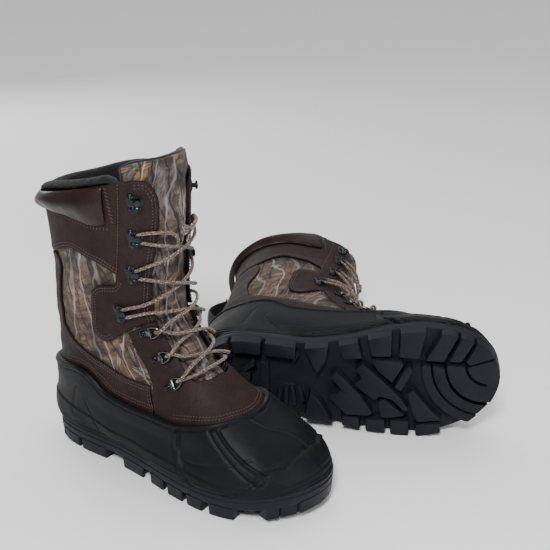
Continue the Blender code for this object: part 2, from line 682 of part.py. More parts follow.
def clip_height():
    """Hinge centre of a D-ring above the clip's underside."""
    return CLIP_THICK + CLIP_INNER


def clip_body():
    """Rolled clip: a strip under the rivet that curls round the ring's bar."""
    roll = CLIP_INNER + CLIP_THICK / 2
    centre = clip_height()
    path = [(-RIVET_BEHIND - 3.0, CLIP_THICK / 2), (-RIVET_BEHIND, CLIP_THICK / 2), (-3.0, CLIP_THICK / 2)]
    for turn in np.radians(np.linspace(-90, 190, 8)):
        path.append((roll * math.cos(turn), centre + roll * math.sin(turn)))
    return strip_profile(path, CLIP_THICK, CLIP_WIDTH / 2)


def clip_mesh():
    """Clip, rivet head and the stem that goes through the leather, as one body."""
    stem = rivet_stem(-RIVET_BEHIND, STEM_RADIUS, TAPE_MIDDLE - CLIP_SEAT - STEM_DROP, CLIP_THICK * 1.4)
    head = rivet_head(-RIVET_BEHIND, 0, CLIP_THICK * 0.6, 3.0, 2.2)
    return boolean(clip_body(), [head, stem], "UNION")


def eyelet_strip(parent, side, face, sign, clip):
    """Three clips riveted through the vamp to the reinforcement tape behind it."""
    sections = np.linspace(RINGS[0][0] - 0.25, RINGS[-1][0] + 0.2, 9)
    middle = np.interp(sections, [s for s, _ in RINGS], [a + 8.2 for _, a in RINGS])
    edges = sign * (middle[:, None] + np.array([-4.0, 4.0]))
    tape = grid_solid(form(sections[:, None], edges, TAPE_MIDDLE + 0.25),
                      form(sections[:, None], edges, TAPE_MIDDLE - 0.25), False)
    bodies = []
    for section, angle in RINGS:
        body = bmesh.new()
        body.from_mesh(clip)
        place = surface_matrix(section, sign * angle, CLIP_SEAT)
        bmesh.ops.transform(body, matrix=place, verts=body.verts)
        bodies.append(body)
    mesh_object(side + "_eyelet_strip_" + face, boolean(tape, bodies, "UNION"), "hardware", parent)


def hardware(parent, side, hook, ring, clip):
    for face, sign in (("outer", 1), ("inner", -1)):
        for k, (section, angle) in enumerate(HOOKS):
            item = mesh_object(f"{side}_hook_{face}_{k + 1}", hook, "hardware", parent)
            item.matrix_local = surface_matrix(section, sign * angle, HOOK_SEAT)
        for k, (section, angle) in enumerate(RINGS):
            item = mesh_object(f"{side}_d_ring_{face}_{k + 1}", ring, "hardware", parent)
            lift = Matrix.Translation((0, 0, clip_height() * MM)) @ Matrix.Rotation(-math.radians(RING_TILT), 4, "Y")
            item.matrix_local = surface_matrix(section, sign * angle, CLIP_SEAT) @ lift
        eyelet_strip(parent, side, face, sign, clip)


# ---------------------------------------------------------------- lace
def hook_turn(k, sign, rising):
    """Lace points round a hook's neck, entered from below."""
    place = surface_matrix(HOOKS[k][0], sign * HOOKS[k][1], HOOK_SEAT)
    turn = [(NECK_X + 1.0, 4.4), (NECK_X - 2.9, 2.9), (NECK_X - 2.9, -2.9), (NECK_X + 1.0, -4.4)]
    points = [place @ Vector((x * MM, sign * y * MM, LACE_IN_HOOK * MM)) for x, y in turn]
    return points[::-1] if rising else points


def ring_turn(k, sign):
    """Lace points through a D-ring: in underneath, up through the hole, out on top."""
    place = surface_matrix(RINGS[k][0], sign * RINGS[k][1], CLIP_SEAT)
    wire_z = clip_height() + RING_REACH * math.sin(math.radians(RING_TILT))
    wire_x = RING_REACH * math.cos(math.radians(RING_TILT))
    reach = RING_WIRE + LACE_RADIUS + 0.4
    turn = [(wire_x + 2.5, -reach), (wire_x - 0.5, -reach), (wire_x - reach, -reach * 0.4),
            (wire_x - reach, reach * 0.6), (wire_x - 0.3, reach + 0.5), (wire_x + 2.5, reach + 0.3)]
    return [place @ Vector((x * MM, 0, (wire_z + z) * MM)) for x, z in turn]


def across(start, end, sign, over):
    """Lace points over the tongue from one stop (section, angle) to the next one on the other side."""
    level = LACE_OVER if over else LACE_UNDER
    stops = [(0.3, 21), (0.5, 0), (0.7, -21)]
    if start[1] > FAR_STOP:
        stops.insert(0, (0.13, 41))
    if end[1] > FAR_STOP:
        stops.append((0.87, -41))
    points = []
    for share, angle in stops:
        section = start[0] + (end[0] - start[0]) * share
        off = level["middle"] if angle == 0 else level["side"]
        points.append(Vector(form(section, sign * angle, off).tolist()) * MM)
    return points


def lace_half(sign, over):
    """Route of one half of the lace from the lowest ring up to the second hook and its tucked end."""
    stops = [("ring", 2), ("ring", 1), ("ring", 0), ("hook", 3), ("hook", 2), ("hook", 1)]
    points = []
    for n, (kind, k) in enumerate(stops):
        here = RINGS[k] if kind == "ring" else HOOKS[k]
        points += ring_turn(k, sign) if kind == "ring" else hook_turn(k, sign, True)
        if n + 1 < len(stops):
            kind, k = stops[n + 1]
            points += across(here, RINGS[k] if kind == "ring" else HOOKS[k], sign, over)
            sign = -sign
    end = (LACE_OVER if over else LACE_UNDER)["end"]
    for section, angle, off in ((1.42, 27, end), (1.5, 12, end), (1.72, 3, end), (2.0, 5, end)):
        points.append(Vector(form(section, sign * angle, off).tolist()) * MM)
    return points


def lace(parent, side):
    low = RINGS[-1][0] + 0.12
    middle = [Vector(form(low, angle, LACE_UNDER["side"]).tolist()) * MM for angle in (24, 8, -8, -24)]
    route = lace_half(1, True)[::-1] + middle + lace_half(-1, False)
    curve = bpy.data.curves.new(side + "_lace", "CURVE")
    curve.dimensions = "3D"
    line = curve.splines.new("POLY")
    line.points.add(len(route) - 1)
    for point, place in zip(line.points, route):
        point.co = (*place, 1.0)
    curve.bevel_depth = LACE_RADIUS * MM
    curve.bevel_resolution = 2
    curve.use_fill_caps = True
    curve.materials.append(material(side + "_lace", "lace"))
    item = bpy.data.objects.new(side + "_lace", curve)
    bpy.context.scene.collection.objects.link(item)
    item.parent = parent


# ---------------------------------------------------------------- the pair
def boot(side, parent, hook, ring, clip):
    outsole(parent, side)
    rubber_shell(parent, side)
    inner_sole(parent, side)
    liner(parent, side)
    footbed(parent, side)
    upper(parent, side)
    collar_pad(parent, side)
    tongue(parent, side)
    pull_loop(parent, side)
    hardware(parent, side, hook, ring, clip)
    lace(parent, side)


def placed_empty(name, place, yaw, roll, mirror):
    item = bpy.data.objects.new(name, None)
    bpy.context.scene.collection.objects.link(item)
    turn = Matrix.Rotation(math.radians(yaw), 4, "Z") @ Matrix.Rotation(math.radians(roll), 4, "X")
    scale = Matrix.Diagonal((1, -1 if mirror else 1, 1, 1))
    item.matrix_world = Matrix.Translation((place[0] * MM, place[1] * MM, 0)) @ turn @ scale
    return item


def corners(parent=None):
    """Lowest and highest corner of the pair, or of one boot."""
    bpy.context.view_layer.update()
    graph = bpy.context.evaluated_depsgraph_get()
    low, high = np.full(3, 1e9), np.full(3, -1e9)
    for item in bpy.context.scene.objects:
        if item.type == "EMPTY" or (parent is not None and item.parent != parent):
            continue
        shown = item.evaluated_get(graph)
        mesh = shown.to_mesh()
        points = np.array([tuple(shown.matrix_world @ v.co) for v in mesh.vertices])
        shown.to_mesh_clear()
        low, high = np.minimum(low, points.min(0)), np.maximum(high, points.max(0))
    return low, high


def main():
    for item in list(bpy.data.objects):
        bpy.data.objects.remove(item)
    right = placed_empty("right_boot", STANDING_PLACE, STANDING_YAW, 0, False)
    left = placed_empty("left_boot", LYING_PLACE, LYING_YAW, LYING_ROLL, True)
    hook, ring, clip = hook_mesh(), ring_mesh(), clip_mesh()
    boot("right", right, hook, ring, clip)
    boot("left", left, hook, ring, clip)
    left.location.z -= corners(left)[0][2]
    low, high = corners()
    for item in (right, left):
        item.location -= Vector(((low[0] + high[0]) / 2, (low[1] + high[1]) / 2, 0))
    bpy.context.view_layer.update()


main()
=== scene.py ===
"""Looks of a pair of insulated hunting boots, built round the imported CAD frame.

Every piece is made in the boot's own frame (millimetres: x forward from the heel, y towards the
inner ankle, z up from the ground) and then placed by the matrix of its boot.
"""
import math

import bmesh
import bpy
import numpy as np
from mathutils import Matrix, Vector, noise
from mathutils.geometry import delaunay_2d_cdt
from mathutils.kdtree import KDTree


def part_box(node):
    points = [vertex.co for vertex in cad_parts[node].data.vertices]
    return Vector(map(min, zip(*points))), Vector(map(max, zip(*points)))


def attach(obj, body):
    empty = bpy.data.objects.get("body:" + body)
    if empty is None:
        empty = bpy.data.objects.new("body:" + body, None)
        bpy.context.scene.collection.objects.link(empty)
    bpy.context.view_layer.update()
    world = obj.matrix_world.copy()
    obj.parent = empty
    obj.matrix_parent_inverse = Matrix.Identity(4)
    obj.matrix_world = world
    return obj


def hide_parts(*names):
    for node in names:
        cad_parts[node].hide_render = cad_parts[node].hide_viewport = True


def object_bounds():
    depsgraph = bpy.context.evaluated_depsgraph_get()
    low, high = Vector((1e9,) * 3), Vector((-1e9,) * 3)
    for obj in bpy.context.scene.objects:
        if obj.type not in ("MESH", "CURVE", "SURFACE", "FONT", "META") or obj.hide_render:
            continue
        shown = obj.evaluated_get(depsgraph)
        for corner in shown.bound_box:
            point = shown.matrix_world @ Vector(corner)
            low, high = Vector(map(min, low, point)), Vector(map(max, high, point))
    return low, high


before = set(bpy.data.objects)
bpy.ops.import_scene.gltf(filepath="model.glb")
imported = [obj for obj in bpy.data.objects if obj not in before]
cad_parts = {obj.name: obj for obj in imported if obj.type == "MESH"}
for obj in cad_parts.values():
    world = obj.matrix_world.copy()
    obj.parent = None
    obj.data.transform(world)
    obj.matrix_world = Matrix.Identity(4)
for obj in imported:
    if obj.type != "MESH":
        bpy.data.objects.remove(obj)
cad_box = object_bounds()

MM = 0.001
SIDES = ("right", "left")


def added(name, data):
    """A new object of the scene."""
    item = bpy.data.objects.new(name, data)
    bpy.context.scene.collection.objects.link(item)
    return item


# ---------------------------------------------------------------- camera
CAMERA_TARGET = Vector((-0.0013, 0.1338, 0.100))
CAMERA_DISTANCE, CAMERA_ELEVATION = 1.15, 20.6
CAMERA_LENS = 60.87


def camera():
    data = bpy.data.cameras.new("camera")
    data.lens = CAMERA_LENS
    item = added("camera", data)
    rise = math.radians(CAMERA_ELEVATION)
    away = Vector((0, -math.cos(rise), math.sin(rise)))
    item.location = CAMERA_TARGET + away * CAMERA_DISTANCE
    item.rotation_euler = away.to_track_quat("Z", "Y").to_euler()
    bpy.context.scene.camera = item


camera()

# ---------------------------------------------------------------- design values shared with the CAD model
SOLE_LENGTH = 316.0
STANDING_YAW = -35.0
LYING_YAW, LYING_ROLL = -6.5, -88.0
LINER_OUT, LINER_IN = -5.0, -10.5
FABRIC_OUT, FABRIC_IN = -1.6, -3.4
LEATHER_OUT, LEATHER_IN = 1.8, 0.0
VAMP_OUT, VAMP_IN = 2.8, 1.2
PAD_IN, PAD_CROWN = 3.3, 6.5
SHELL_OUT, SHELL_IN = 7.2, 4.2
PLATE_TOP, PLATE_BOTTOM = 24.0, 11.5
TOE_SPRING, SPRING_FROM = 10.0, 235.0
SHANK_CORNERS = [(70, -10), (180, -8), (180, 12), (70, 10)]
SHANK_LOW, SHANK_THICK = 24.4, 1.2
FOOTBED_OUT, FOOTBED_IN = -13.0, -16.0
LACE_RADIUS = 1.5
RING_WIRE, RING_REACH, RING_HALF_WIDTH, RING_TILT = 1.0, 10.0, 5.2, 12.0
CLIP_INNER, CLIP_THICK, CLIP_WIDTH, CLIP_SEAT = 1.45, 0.9, 4.8, 3.3
HOOK_SEAT, RIVET_BEHIND, TAPE_MIDDLE = 2.3, 7.0, -0.66
NECK_X, LACE_IN_HOOK = 8.0, 2.9
FAR_STOP, THROAT = 55.0, 8.7
FRONT = [(158, 322), (157, 300), (156, 264), (155, 228), (155, 198), (157, 174), (162, 153), (170, 138),
         (180, 126), (191, 116), (203, 107), (215, 97), (229, 87), (245, 75), (264, 64), (282, 55),
         (297, 46), (305, 36)]
BACK = [(-1, 288), (3, 264), (7, 232), (8, 196), (7, 160), (5, 130), (3, 98), (3, 66), (9, 36), (45, 24),
        (95, 24), (145, 24), (190, 24), (228, 24), (258, 25), (280, 27), (295, 30), (304, 33)]
HALF_WIDTH = [56, 54, 52, 49, 46, 44, 42.5, 42, 41.5, 41.5, 42, 44, 46, 46, 43, 37, 27, 7]
SHIFT = [0, 0, 0, 0, 0, 0, 0, 0, 0, 0, 0, 0, 0, 1, 3, 5, 6, 7]
ROUNDNESS = [2.15] * 6 + [2.2, 2.3, 2.4, 2.4, 2.4, 2.35, 2.3, 2.25, 2.2, 2.2, 2.15, 2.0]
SOLE = [(0, 0), (5, -22), (22, -38), (55, -45), (100, -46), (145, -51), (185, -58), (222, -61), (258, -56),
        (288, -42), (308, -20), (316, 6), (310, 30), (294, 47), (268, 58), (235, 62), (200, 57), (160, 45),
        (118, 38), (75, 41), (35, 41), (10, 25)]
SHELL_TOP = [(5.4, 180), (5.45, 150), (5.6, 125), (5.85, 104), (6.5, 93), (7.6, 89), (8.7, 85), (9.7, 79),
             (10.4, 64), (11.0, 47), (11.35, 28), (11.58, 12), (11.65, 0)]
SHELL_TURN = [(6.95, 180), (7.2, 150), (7.5, 128), (7.9, 120), (8.5, 122), (9.3, 125), (10.1, 125),
              (10.8, 125), (11.7, 125), (12.7, 120), (13.8, 112), (14.8, 100), (15.9, 0)]
WELT_OUTER = [(2, 0), (16, -33), (50, -43.5), (85, -44.5), (112, -46), (140, -49), (172, -55), (198, -58.5),
              (226, -59.5), (258, -54.5), (284, -43), (304, -22), (314.5, 6)]
WELT_INNER = [(2, 0), (18, 33), (50, 40.5), (85, 39), (112, 37), (140, 40), (170, 47), (198, 55),
              (228, 60.5), (262, 58), (289, 48.5), (307, 32), (314.5, 6)]
CUFF_TOP = [(0.0, 66), (0.0, 52), (0.02, 42), (0.1, 33), (0.25, 27), (0.6, 21)]
CUFF_FRONT = [(0.6, 21), (0.95, 20.5), (1.35, 22), (1.95, 26), (2.55, 30), (3.15, 33), (3.9, 35.5),
              (4.45, 33)]
CUFF_SEAM = [(4.45, 33), (4.5, 46), (4.6, 60)]
CUFF_TAB = [(4.6, 60), (4.9, 73), (4.97, 80), (4.75, 86), (4.4, 89), (3.9, 88.8), (3.5, 88), (2.98, 86.5),
            (2.78, 81), (2.78, 72), (2.8, 66), (2.62, 63.2), (2.45, 63)]
CUFF_LOWER = [(2.45, 63), (2.1, 75), (1.88, 86), (1.65, 96), (1.61, 105), (1.66, 114), (1.73, 124),
              (1.75, 135), (1.75, 157), (1.75, 180)]
FOXING_UPPER = [(1.82, 180), (1.82, 157), (1.82, 135), (1.84, 124), (2.1, 120.5), (2.4, 121), (3.1, 127),
                (3.65, 126), (4.45, 120), (4.9, 107), (5.3, 98), (5.8, 88), (6.8, 74), (7.6, 63)]
FOXING_FRONT = [(7.6, 63), (8.15, 71), (8.7, 80), (9.2, 92)]
FOXING_LOWER = [(9.2, 92), (8.6, 97), (7.6, 101), (6.7, 105), (6.3, 115), (6.05, 135), (5.95, 155),
                (5.9, 180)]
VAMP_SIDE = [(4.72, 59.5), (5.5, 58), (6.45, 56), (7.2, 58), (7.6, 60.5), (8.15, 68.5), (8.75, 78),
             (9.25, 89), (10.0, 88)]
VAMP_LOWER = [(10.0, 88), (10.8, 74), (11.4, 56), (11.85, 35), (12.1, 16), (12.15, 0)]
VAMP_THROAT = [(8.95, 0), (8.92, 8), (8.8, 16), (8.55, 27), (8.1, 31), (7.5, 28), (6.7, 27), (5.85, 28),
               (5.1, 31), (4.52, 33.5)]
VAMP_TOP = [(4.52, 33.5), (4.6, 46), (4.72, 59.5)]
FABRIC_EDGE = [(0.12, 60), (0.3, 32), (1.35, 27), (3.15, 38), (4.45, 37), (5.85, 33), (7.5, 33), (8.2, 38),
               (8.8, 60), (8.9, 80), (8.5, 93), (7.5, 97), (6.6, 101), (6.2, 115), (6.0, 135), (5.85, 180)]
HOOKS = [(0.6, 44), (1.5, 46), (2.52, 50), (3.88, 64)]
RINGS = [(4.9, 41), (6.35, 40), (8.1, 46)]
PULL_LOOP_ENDS = (2.75, 4.7)                # sections where the webbing is sewn down
PULL_LOOP_BULGE = {"right": 6.0, "left": 14.0}
LACE_OVER = {"middle": 9.4, "side": 8.4, "end": 8.8}     # lace centre above the form where it lies on top
LACE_UNDER = {"middle": 5.3, "side": 5.6, "end": 5.4}    # and where it lies below the other half


# ---------------------------------------------------------------- the boot's form
def catmull_rom(points, f):
    p0, p1, p2, p3 = points
    return 0.5 * (2 * p1 + (p2 - p0) * f + (2 * p0 - 5 * p1 + 4 * p2 - p3) * f ** 2
                  + (3 * p1 - p0 - 3 * p2 + p3) * f ** 3)


def spline(values, t):
    """Catmull-Rom curve through equally spaced values, at the parameter t."""
    values = np.asarray(values, float)
    last = len(values) - 1
    t = np.clip(np.asarray(t, float), 0.0, last - 1e-9)
    k = np.floor(t).astype(int)
    f = t - k
    if values.ndim > 1:
        f = f[..., None]
    return catmull_rom([values[np.clip(k + step, 0, last)] for step in (-1, 0, 1, 2)], f)


def closed_spline(values, t):
    """The same curve through a closed ring of values."""
    values = np.asarray(values, float)
    count = len(values)
    t = np.asarray(t, float) % count
    k = np.floor(t).astype(int)
    return catmull_rom([values[(k + step) % count] for step in (-1, 0, 1, 2)], (t - k)[..., None])


def form(section, angle, off=0.0):
    """Point on the boot's form. Angle 0 is the front centre line, positive is the outer side."""
    section, angle, off = np.broadcast_arrays(*(np.asarray(v, float) for v in (section, angle, off)))

    def at(s, a):
        front = spline(FRONT, s + 1)
        back = spline(BACK, s + 1)
        power = 2.0 / spline(ROUNDNESS, s + 1)
        turn = np.radians(a)
        c = np.sign(np.cos(turn)) * np.abs(np.cos(turn)) ** power
        w = np.sign(np.sin(turn)) * np.abs(np.sin(turn)) ** power
        xz = (front + back) / 2 + (front - back) / 2 * c[..., None]
        return np.stack([xz[..., 0], spline(SHIFT, s + 1) - spline(HALF_WIDTH, s + 1) * w, xz[..., 1]], -1)

    du = at(np.clip(section + 0.02, -1, 16), angle) - at(np.clip(section - 0.02, -1, 16), angle)
    da = at(section, angle + 1.0) - at(section, angle - 1.0)
    normal = np.cross(da, du)
    normal /= np.linalg.norm(normal, axis=-1, keepdims=True) + 1e-12
    return at(section, angle) + normal * off[..., None]


def outward(section, angle):
    """Normal of the form, one millimetre long."""
    return form(section, angle, 1.0) - form(section, angle)


def travel(points):
    """Distance travelled along a path at each of its points."""
    return np.concatenate([[0], np.cumsum(np.linalg.norm(np.diff(points, axis=0), axis=1))])


def unit(vectors):
    return vectors / (np.linalg.norm(vectors, axis=-1, keepdims=True) + 1e-9)


def smooth_step(value):
    value = np.clip(value, 0.0, 1.0)
    return value * value * (3 - 2 * value)


def window(value, start, end, soft):
    """1 between start and end, falling to 0 over the soft width outside them."""
    return smooth_step((value - start) / soft + 1) * smooth_step((end - value) / soft + 1)


def folded(angle):
    """Angle from the front centre line on either half, 0 to 180."""
    return 180 - np.abs(180 - np.abs(np.asarray(angle, float)) % 360)


def sag(section, angle):
    """Soft unevenness shared by every layer of the shaft, so that no layer meets another."""
    section, angle = np.broadcast_arrays(np.asarray(section, float), np.asarray(angle, float))
    side = folded(angle)
    turn = np.radians(angle)
    wave = (np.sin(2.1 * section + 3 * turn) * 0.5 + np.sin(4.3 * section - 5 * turn + 1.0) * 0.32
            + np.sin(7.9 * section + 2 * turn + 2.2) * 0.22)
    crease = -np.exp(-((section - 4.75 - 0.5 * np.cos(turn)) / 0.16) ** 2) * 0.9
    crease -= np.exp(-((section - 5.35 - 0.7 * np.cos(turn)) / 0.14) ** 2) * 0.6
    soft = window(section, 2.2, 5.3, 0.8) * window(side, 92, 158, 16)
    return 1.25 * wave * soft + crease * window(side, 82, 116, 12)


def spring(x):
    """Rise of the sole towards the toe."""
    return TOE_SPRING * np.clip((np.asarray(x, float) - SPRING_FROM) / (SOLE_LENGTH - SPRING_FROM), 0, 2) ** 2


def sole_outline(t, inset=0.0):
    """Plan point on the outsole's edge, moved inwards by the inset."""
    t = np.asarray(t, float)
    point = closed_spline(SOLE, t)
    along = closed_spline(SOLE, t + 0.05) - closed_spline(SOLE, t - 0.05)
    along /= np.linalg.norm(along, axis=-1, keepdims=True)
    inward = np.stack([-along[..., 1], along[..., 0]], -1)
    return point + inward * np.asarray(inset, float)[..., None]


def smooth_run(points, pieces=5):
    """A run of outline points as a smooth curve through them, without its last point."""
    count = (len(points) - 1) * pieces
    return spline(points, np.arange(count) / pieces)


def mirrored(run):
    return np.array([(s, -a) for s, a in run[::-1]])


def around_back(run):
    return np.array([(s, 360 - a) for s, a in run[::-1]])


def surface_matrix(section, angle, off):
    """Frame on the form: X to the front centre line, Z outwards, in millimetres."""
    origin = Vector(form(section, angle, off).tolist())
    side = 1.0 if angle > 0 else -1.0
    ahead = Vector((form(section, angle - 2 * side) - form(section, angle + 2 * side)).tolist()).normalized()
    up = Vector(outward(section, angle).tolist()).normalized()
    across = up.cross(ahead).normalized()
    ahead = across.cross(up)
    return Matrix.Translation(origin) @ Matrix((ahead, across, up)).transposed().to_4x4()


# ---------------------------------------------------------------- placing the two boots
def boot_turn(side):
    if side == "right":
        return np.array(Matrix.Rotation(math.radians(STANDING_YAW), 3, "Z"))
    yaw = Matrix.Rotation(math.radians(LYING_YAW), 3, "Z")
    return np.array(yaw @ Matrix.Rotation(math.radians(LYING_ROLL), 3, "X") @ Matrix.Diagonal((1, -1, 1)))


def boot_place(side):
    """Where the boot's frame stands, found from its shank, a plain plate of known corners."""
    low = np.array([(x, y, SHANK_LOW) for x, y in SHANK_CORNERS])
    high = low + (0, 0, SHANK_THICK)
    corners = np.vstack([low, high]) @ boot_turn(side).T * MM
    return np.array(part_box(side + "_shank")[0]) - corners.min(0)


TURN = {side: boot_turn(side) for side in SIDES}
PLACE = {side: boot_place(side) for side in SIDES}


def placed(side, points):
    return np.asarray(points, float) @ TURN[side].T * MM + PLACE[side]


# ---------------------------------------------------------------- meshes
class Shape:
    """Points in millimetres, faces, a material index for each face and point values for the shaders."""

    def __init__(self):
        self.points, self.faces, self.marks, self.values, self.count = [], [], [], {}, 0

    def add(self, points, faces, mark=0, **values):
        points = np.asarray(points, float).reshape(-1, 3)
        self.points.append(points)
        self.faces += [[v + self.count for v in face] for face in faces]
        self.marks += [mark] * len(faces)
        for name, rows in values.items():
            self.values.setdefault(name, []).append((self.count, np.asarray(rows, float)))
        self.count += len(points)
        return self

    def table(self, name, width):
        table = np.zeros((self.count, width))
        for start, rows in self.values[name]:
            table[start:start + len(rows)] = rows.reshape(len(rows), width)
        return table


def grid_faces(rows, cols, wrap=False):
    spans = cols if wrap else cols - 1
    faces = []
    for r in range(rows - 1):
        for c in range(spans):
            n = (c + 1) % cols
            faces.append((r * cols + c, r * cols + n, (r + 1) * cols + n, (r + 1) * cols + c))
    return faces


def closed_grid(rows, cols, wrap):
    """Faces of a solid between two grids stored one after the other."""
    size = rows * cols
    skin = grid_faces(rows, cols, wrap)
    faces = skin + [tuple(v + size for v in face[::-1]) for face in skin]
    spans = cols if wrap else cols - 1
    for r in (0, rows - 1):
        for c in range(spans):
            a, b = r * cols + c, r * cols + (c + 1) % cols
            faces.append((a, b, b + size, a + size) if r else (b, a, a + size, b + size))
    if not wrap:
        for c in (0, cols - 1):
            for r in range(rows - 1):
                a, b = r * cols + c, (r + 1) * cols + c
                faces.append((b, a, a + size, b + size) if c else (a, b, b + size, a + size))
    return faces


def tube_faces(rings, sides, closed=False):
    faces = grid_faces(rings, sides, True)
    if closed:
        last = (rings - 1) * sides
        for s in range(sides):
            n = (s + 1) % sides
            faces.append((last + s, last + n, n, s))
    else:
        faces += [tuple(range(sides))[::-1], tuple((rings - 1) * sides + s for s in range(sides))]
    return faces


def piece(name, side, shape, materials, body="boots", in_cad=True, sharp=38.0):
    """A finished object of the boot from a Shape, riding on its body in place of the CAD node of its name."""
    points = np.vstack(shape.points)
    name = side + "_" + name
    mesh = bpy.data.meshes.new(name)
    mesh.from_pydata(placed(side, points).tolist(), [], shape.faces)
    for material in materials:
        mesh.materials.append(material)
    mesh.polygons.foreach_set("material_index", shape.marks)
    mesh.attributes.new("place", "FLOAT_VECTOR", "POINT").data.foreach_set("vector", (points * MM).ravel())
    if "cloth" in shape.values:
        cloth = mesh.attributes.new("cloth", "FLOAT_VECTOR", "POINT")
        cloth.data.foreach_set("vector", (shape.table("cloth", 3) * MM).ravel())
    if "edge" in shape.values:
        edge = mesh.attributes.new("edge", "FLOAT", "POINT")
        edge.data.foreach_set("value", shape.table("edge", 1).ravel())
    bm = bmesh.new()
    bm.from_mesh(mesh)
    bmesh.ops.recalc_face_normals(bm, faces=bm.faces)
    bm.to_mesh(mesh)
    bm.free()
    mesh.shade_smooth()
    mesh.set_sharp_from_angle(angle=math.radians(sharp))
    item = added(name, mesh)
    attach(item, body)
    if in_cad:
        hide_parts(name)
    return item


UNROLL_SECTIONS = np.linspace(-1, 16, 69)
UNROLL_ANGLES = np.arange(-180, 361, 3.0)


def unroll_table():
    grid = form(UNROLL_SECTIONS[:, None], UNROLL_ANGLES[None, :])
    around = np.array([travel(row) for row in grid])
    around -= around[:, list(UNROLL_ANGLES).index(0.0)][:, None]
    return around, -travel(form(UNROLL_SECTIONS, 90.0))


AROUND, ALONG = unroll_table()


def unrolled(section, angle):
    """Flat place in millimetres of a point on the form: round it, and down it."""
    section, angle = np.broadcast_arrays(np.asarray(section, float), np.asarray(angle, float))
    row = np.interp(section, UNROLL_SECTIONS, np.arange(len(UNROLL_SECTIONS)))
    col = np.interp(angle, UNROLL_ANGLES, np.arange(len(UNROLL_ANGLES)))
    r = np.minimum(row.astype(int), len(UNROLL_SECTIONS) - 2)
    c = np.minimum(col.astype(int), len(UNROLL_ANGLES) - 2)
    fr, fc = row - r, col - c
    around = ((AROUND[r, c] * (1 - fc) + AROUND[r, c + 1] * fc) * (1 - fr)
              + (AROUND[r + 1, c] * (1 - fc) + AROUND[r + 1, c + 1] * fc) * fr)
    return np.stack([around, np.interp(section, UNROLL_SECTIONS, ALONG), np.zeros_like(around)], -1)


ANGLE_SCALE, SECTION_SCALE = 0.85, 24.0     # lattice units for a degree and for a section, near 1 mm
PANEL_RIM, EDGE_ROLL, ROLL_WIDTH = 0.55, 0.5, 0.9


def inside(points, polygon):
    """Which points lie in the polygon."""
    x, y = points[:, 0], points[:, 1]
    found = np.zeros(len(points), bool)
    for (x0, y0), (x1, y1) in zip(polygon, np.roll(polygon, -1, axis=0)):
        crosses = (y0 > y) != (y1 > y)
        with np.errstate(divide="ignore", invalid="ignore"):
            found ^= crosses & (x < (x1 - x0) * (y - y0) / (y1 - y0) + x0)
    return found


def resample(points, step):
    points = np.asarray(points, float)
    result = []
    for p, q in zip(points, np.roll(points, -1, axis=0)):
        parts = max(1, int(round(np.linalg.norm(q - p) / step)))
        result += [p + (q - p) * k / parts for k in range(parts)]
    return np.array(result)


def twice_area(polygon):
    """Twice the area, positive when the polygon runs anticlockwise."""
    x, y = np.asarray(polygon, float).T
    return np.sum(x * np.roll(y, -1) - np.roll(x, -1) * y)


def inset(polygon, distance):
    """The polygon moved inwards by the distance."""
    before, after = polygon - np.roll(polygon, 1, axis=0), np.roll(polygon, -1, axis=0) - polygon
    along = before / np.linalg.norm(before, axis=1, keepdims=True)
    along = along + after / np.linalg.norm(after, axis=1, keepdims=True)
    along /= np.linalg.norm(along, axis=1, keepdims=True) + 1e-9
    inward = np.column_stack([-along[:, 1], along[:, 0]]) * np.sign(twice_area(polygon))
    return polygon + inward * distance


def nearest(points, targets):
    """Distance from each point to the nearest target."""
    tree = KDTree(len(targets))
    for k, target in enumerate(targets):
        tree.insert(Vector(target), k)
    tree.balance()
    return np.array([tree.find(Vector(p))[2] for p in points])


def triangulated(polygon, step, rim):
    """Flat points and triangles of an outline: its edge, a second ring inside it and a lattice."""
    edge = resample(polygon, step)
    ring = inset(edge, rim)
    low, high = edge.min(0), edge.max(0)
    gx, gy = np.meshgrid(np.arange(low[0], high[0], step), np.arange(low[1], high[1], step))
    lattice = np.column_stack([gx.ravel(), gy.ravel()])
    lattice = lattice[inside(lattice, ring)]
    flat3 = np.column_stack([lattice, np.zeros(len(lattice))])
    gap = nearest(flat3, np.column_stack([ring, np.zeros(len(ring))]))
    lattice = lattice[gap > 0.6 * step]
    coords = [Vector(p) for p in np.vstack([edge, ring, lattice]).tolist()]
    flat, _, faces, _, _, _ = delaunay_2d_cdt(coords, [], [list(range(len(edge)))], 1, 1e-6)
    return np.array([tuple(v) for v in flat]), faces, edge


def panel(outline, off_in, off_out, step=1.6, relief=None):
    """Leather or fabric panel wrapped on the form, its edge rolled over."""
    scale = np.array([SECTION_SCALE, ANGLE_SCALE])
    polygon = (np.asarray(outline, float) * scale)[:, ::-1]
    flat, faces, edge = triangulated(polygon, step, PANEL_RIM)
    section, angle = flat[:, 1] / SECTION_SCALE, flat[:, 0] / ANGLE_SCALE
    base = form(section, angle)
    border = form(edge[:, 1] / SECTION_SCALE, edge[:, 0] / ANGLE_SCALE)
    depth = nearest(base, border)
    shared = sag(section, angle)
    extra = relief(section, angle, depth) if relief else 0.0
    fall = EDGE_ROLL * (1 - np.clip(depth / ROLL_WIDTH, 0, 1)) ** 2
    outer = form(section, angle, off_out + shared + extra - fall)
    inner = form(section, angle, off_in + shared)
    size = len(flat)
    solid = [tuple(f) for f in faces] + [tuple(v + size for v in f[::-1]) for f in faces]
    uses = set()
    for face in faces:
        uses |= {(a, b) for a, b in zip(face, face[1:] + face[:1])}
    solid += [(b, a, a + size, b + size) for a, b in uses if (b, a) not in uses]
    cloth = unrolled(section, angle)
    return Shape().add(np.vstack([outer, inner]), solid, cloth=np.vstack([cloth, cloth]),
                       edge=np.tile(depth, 2))


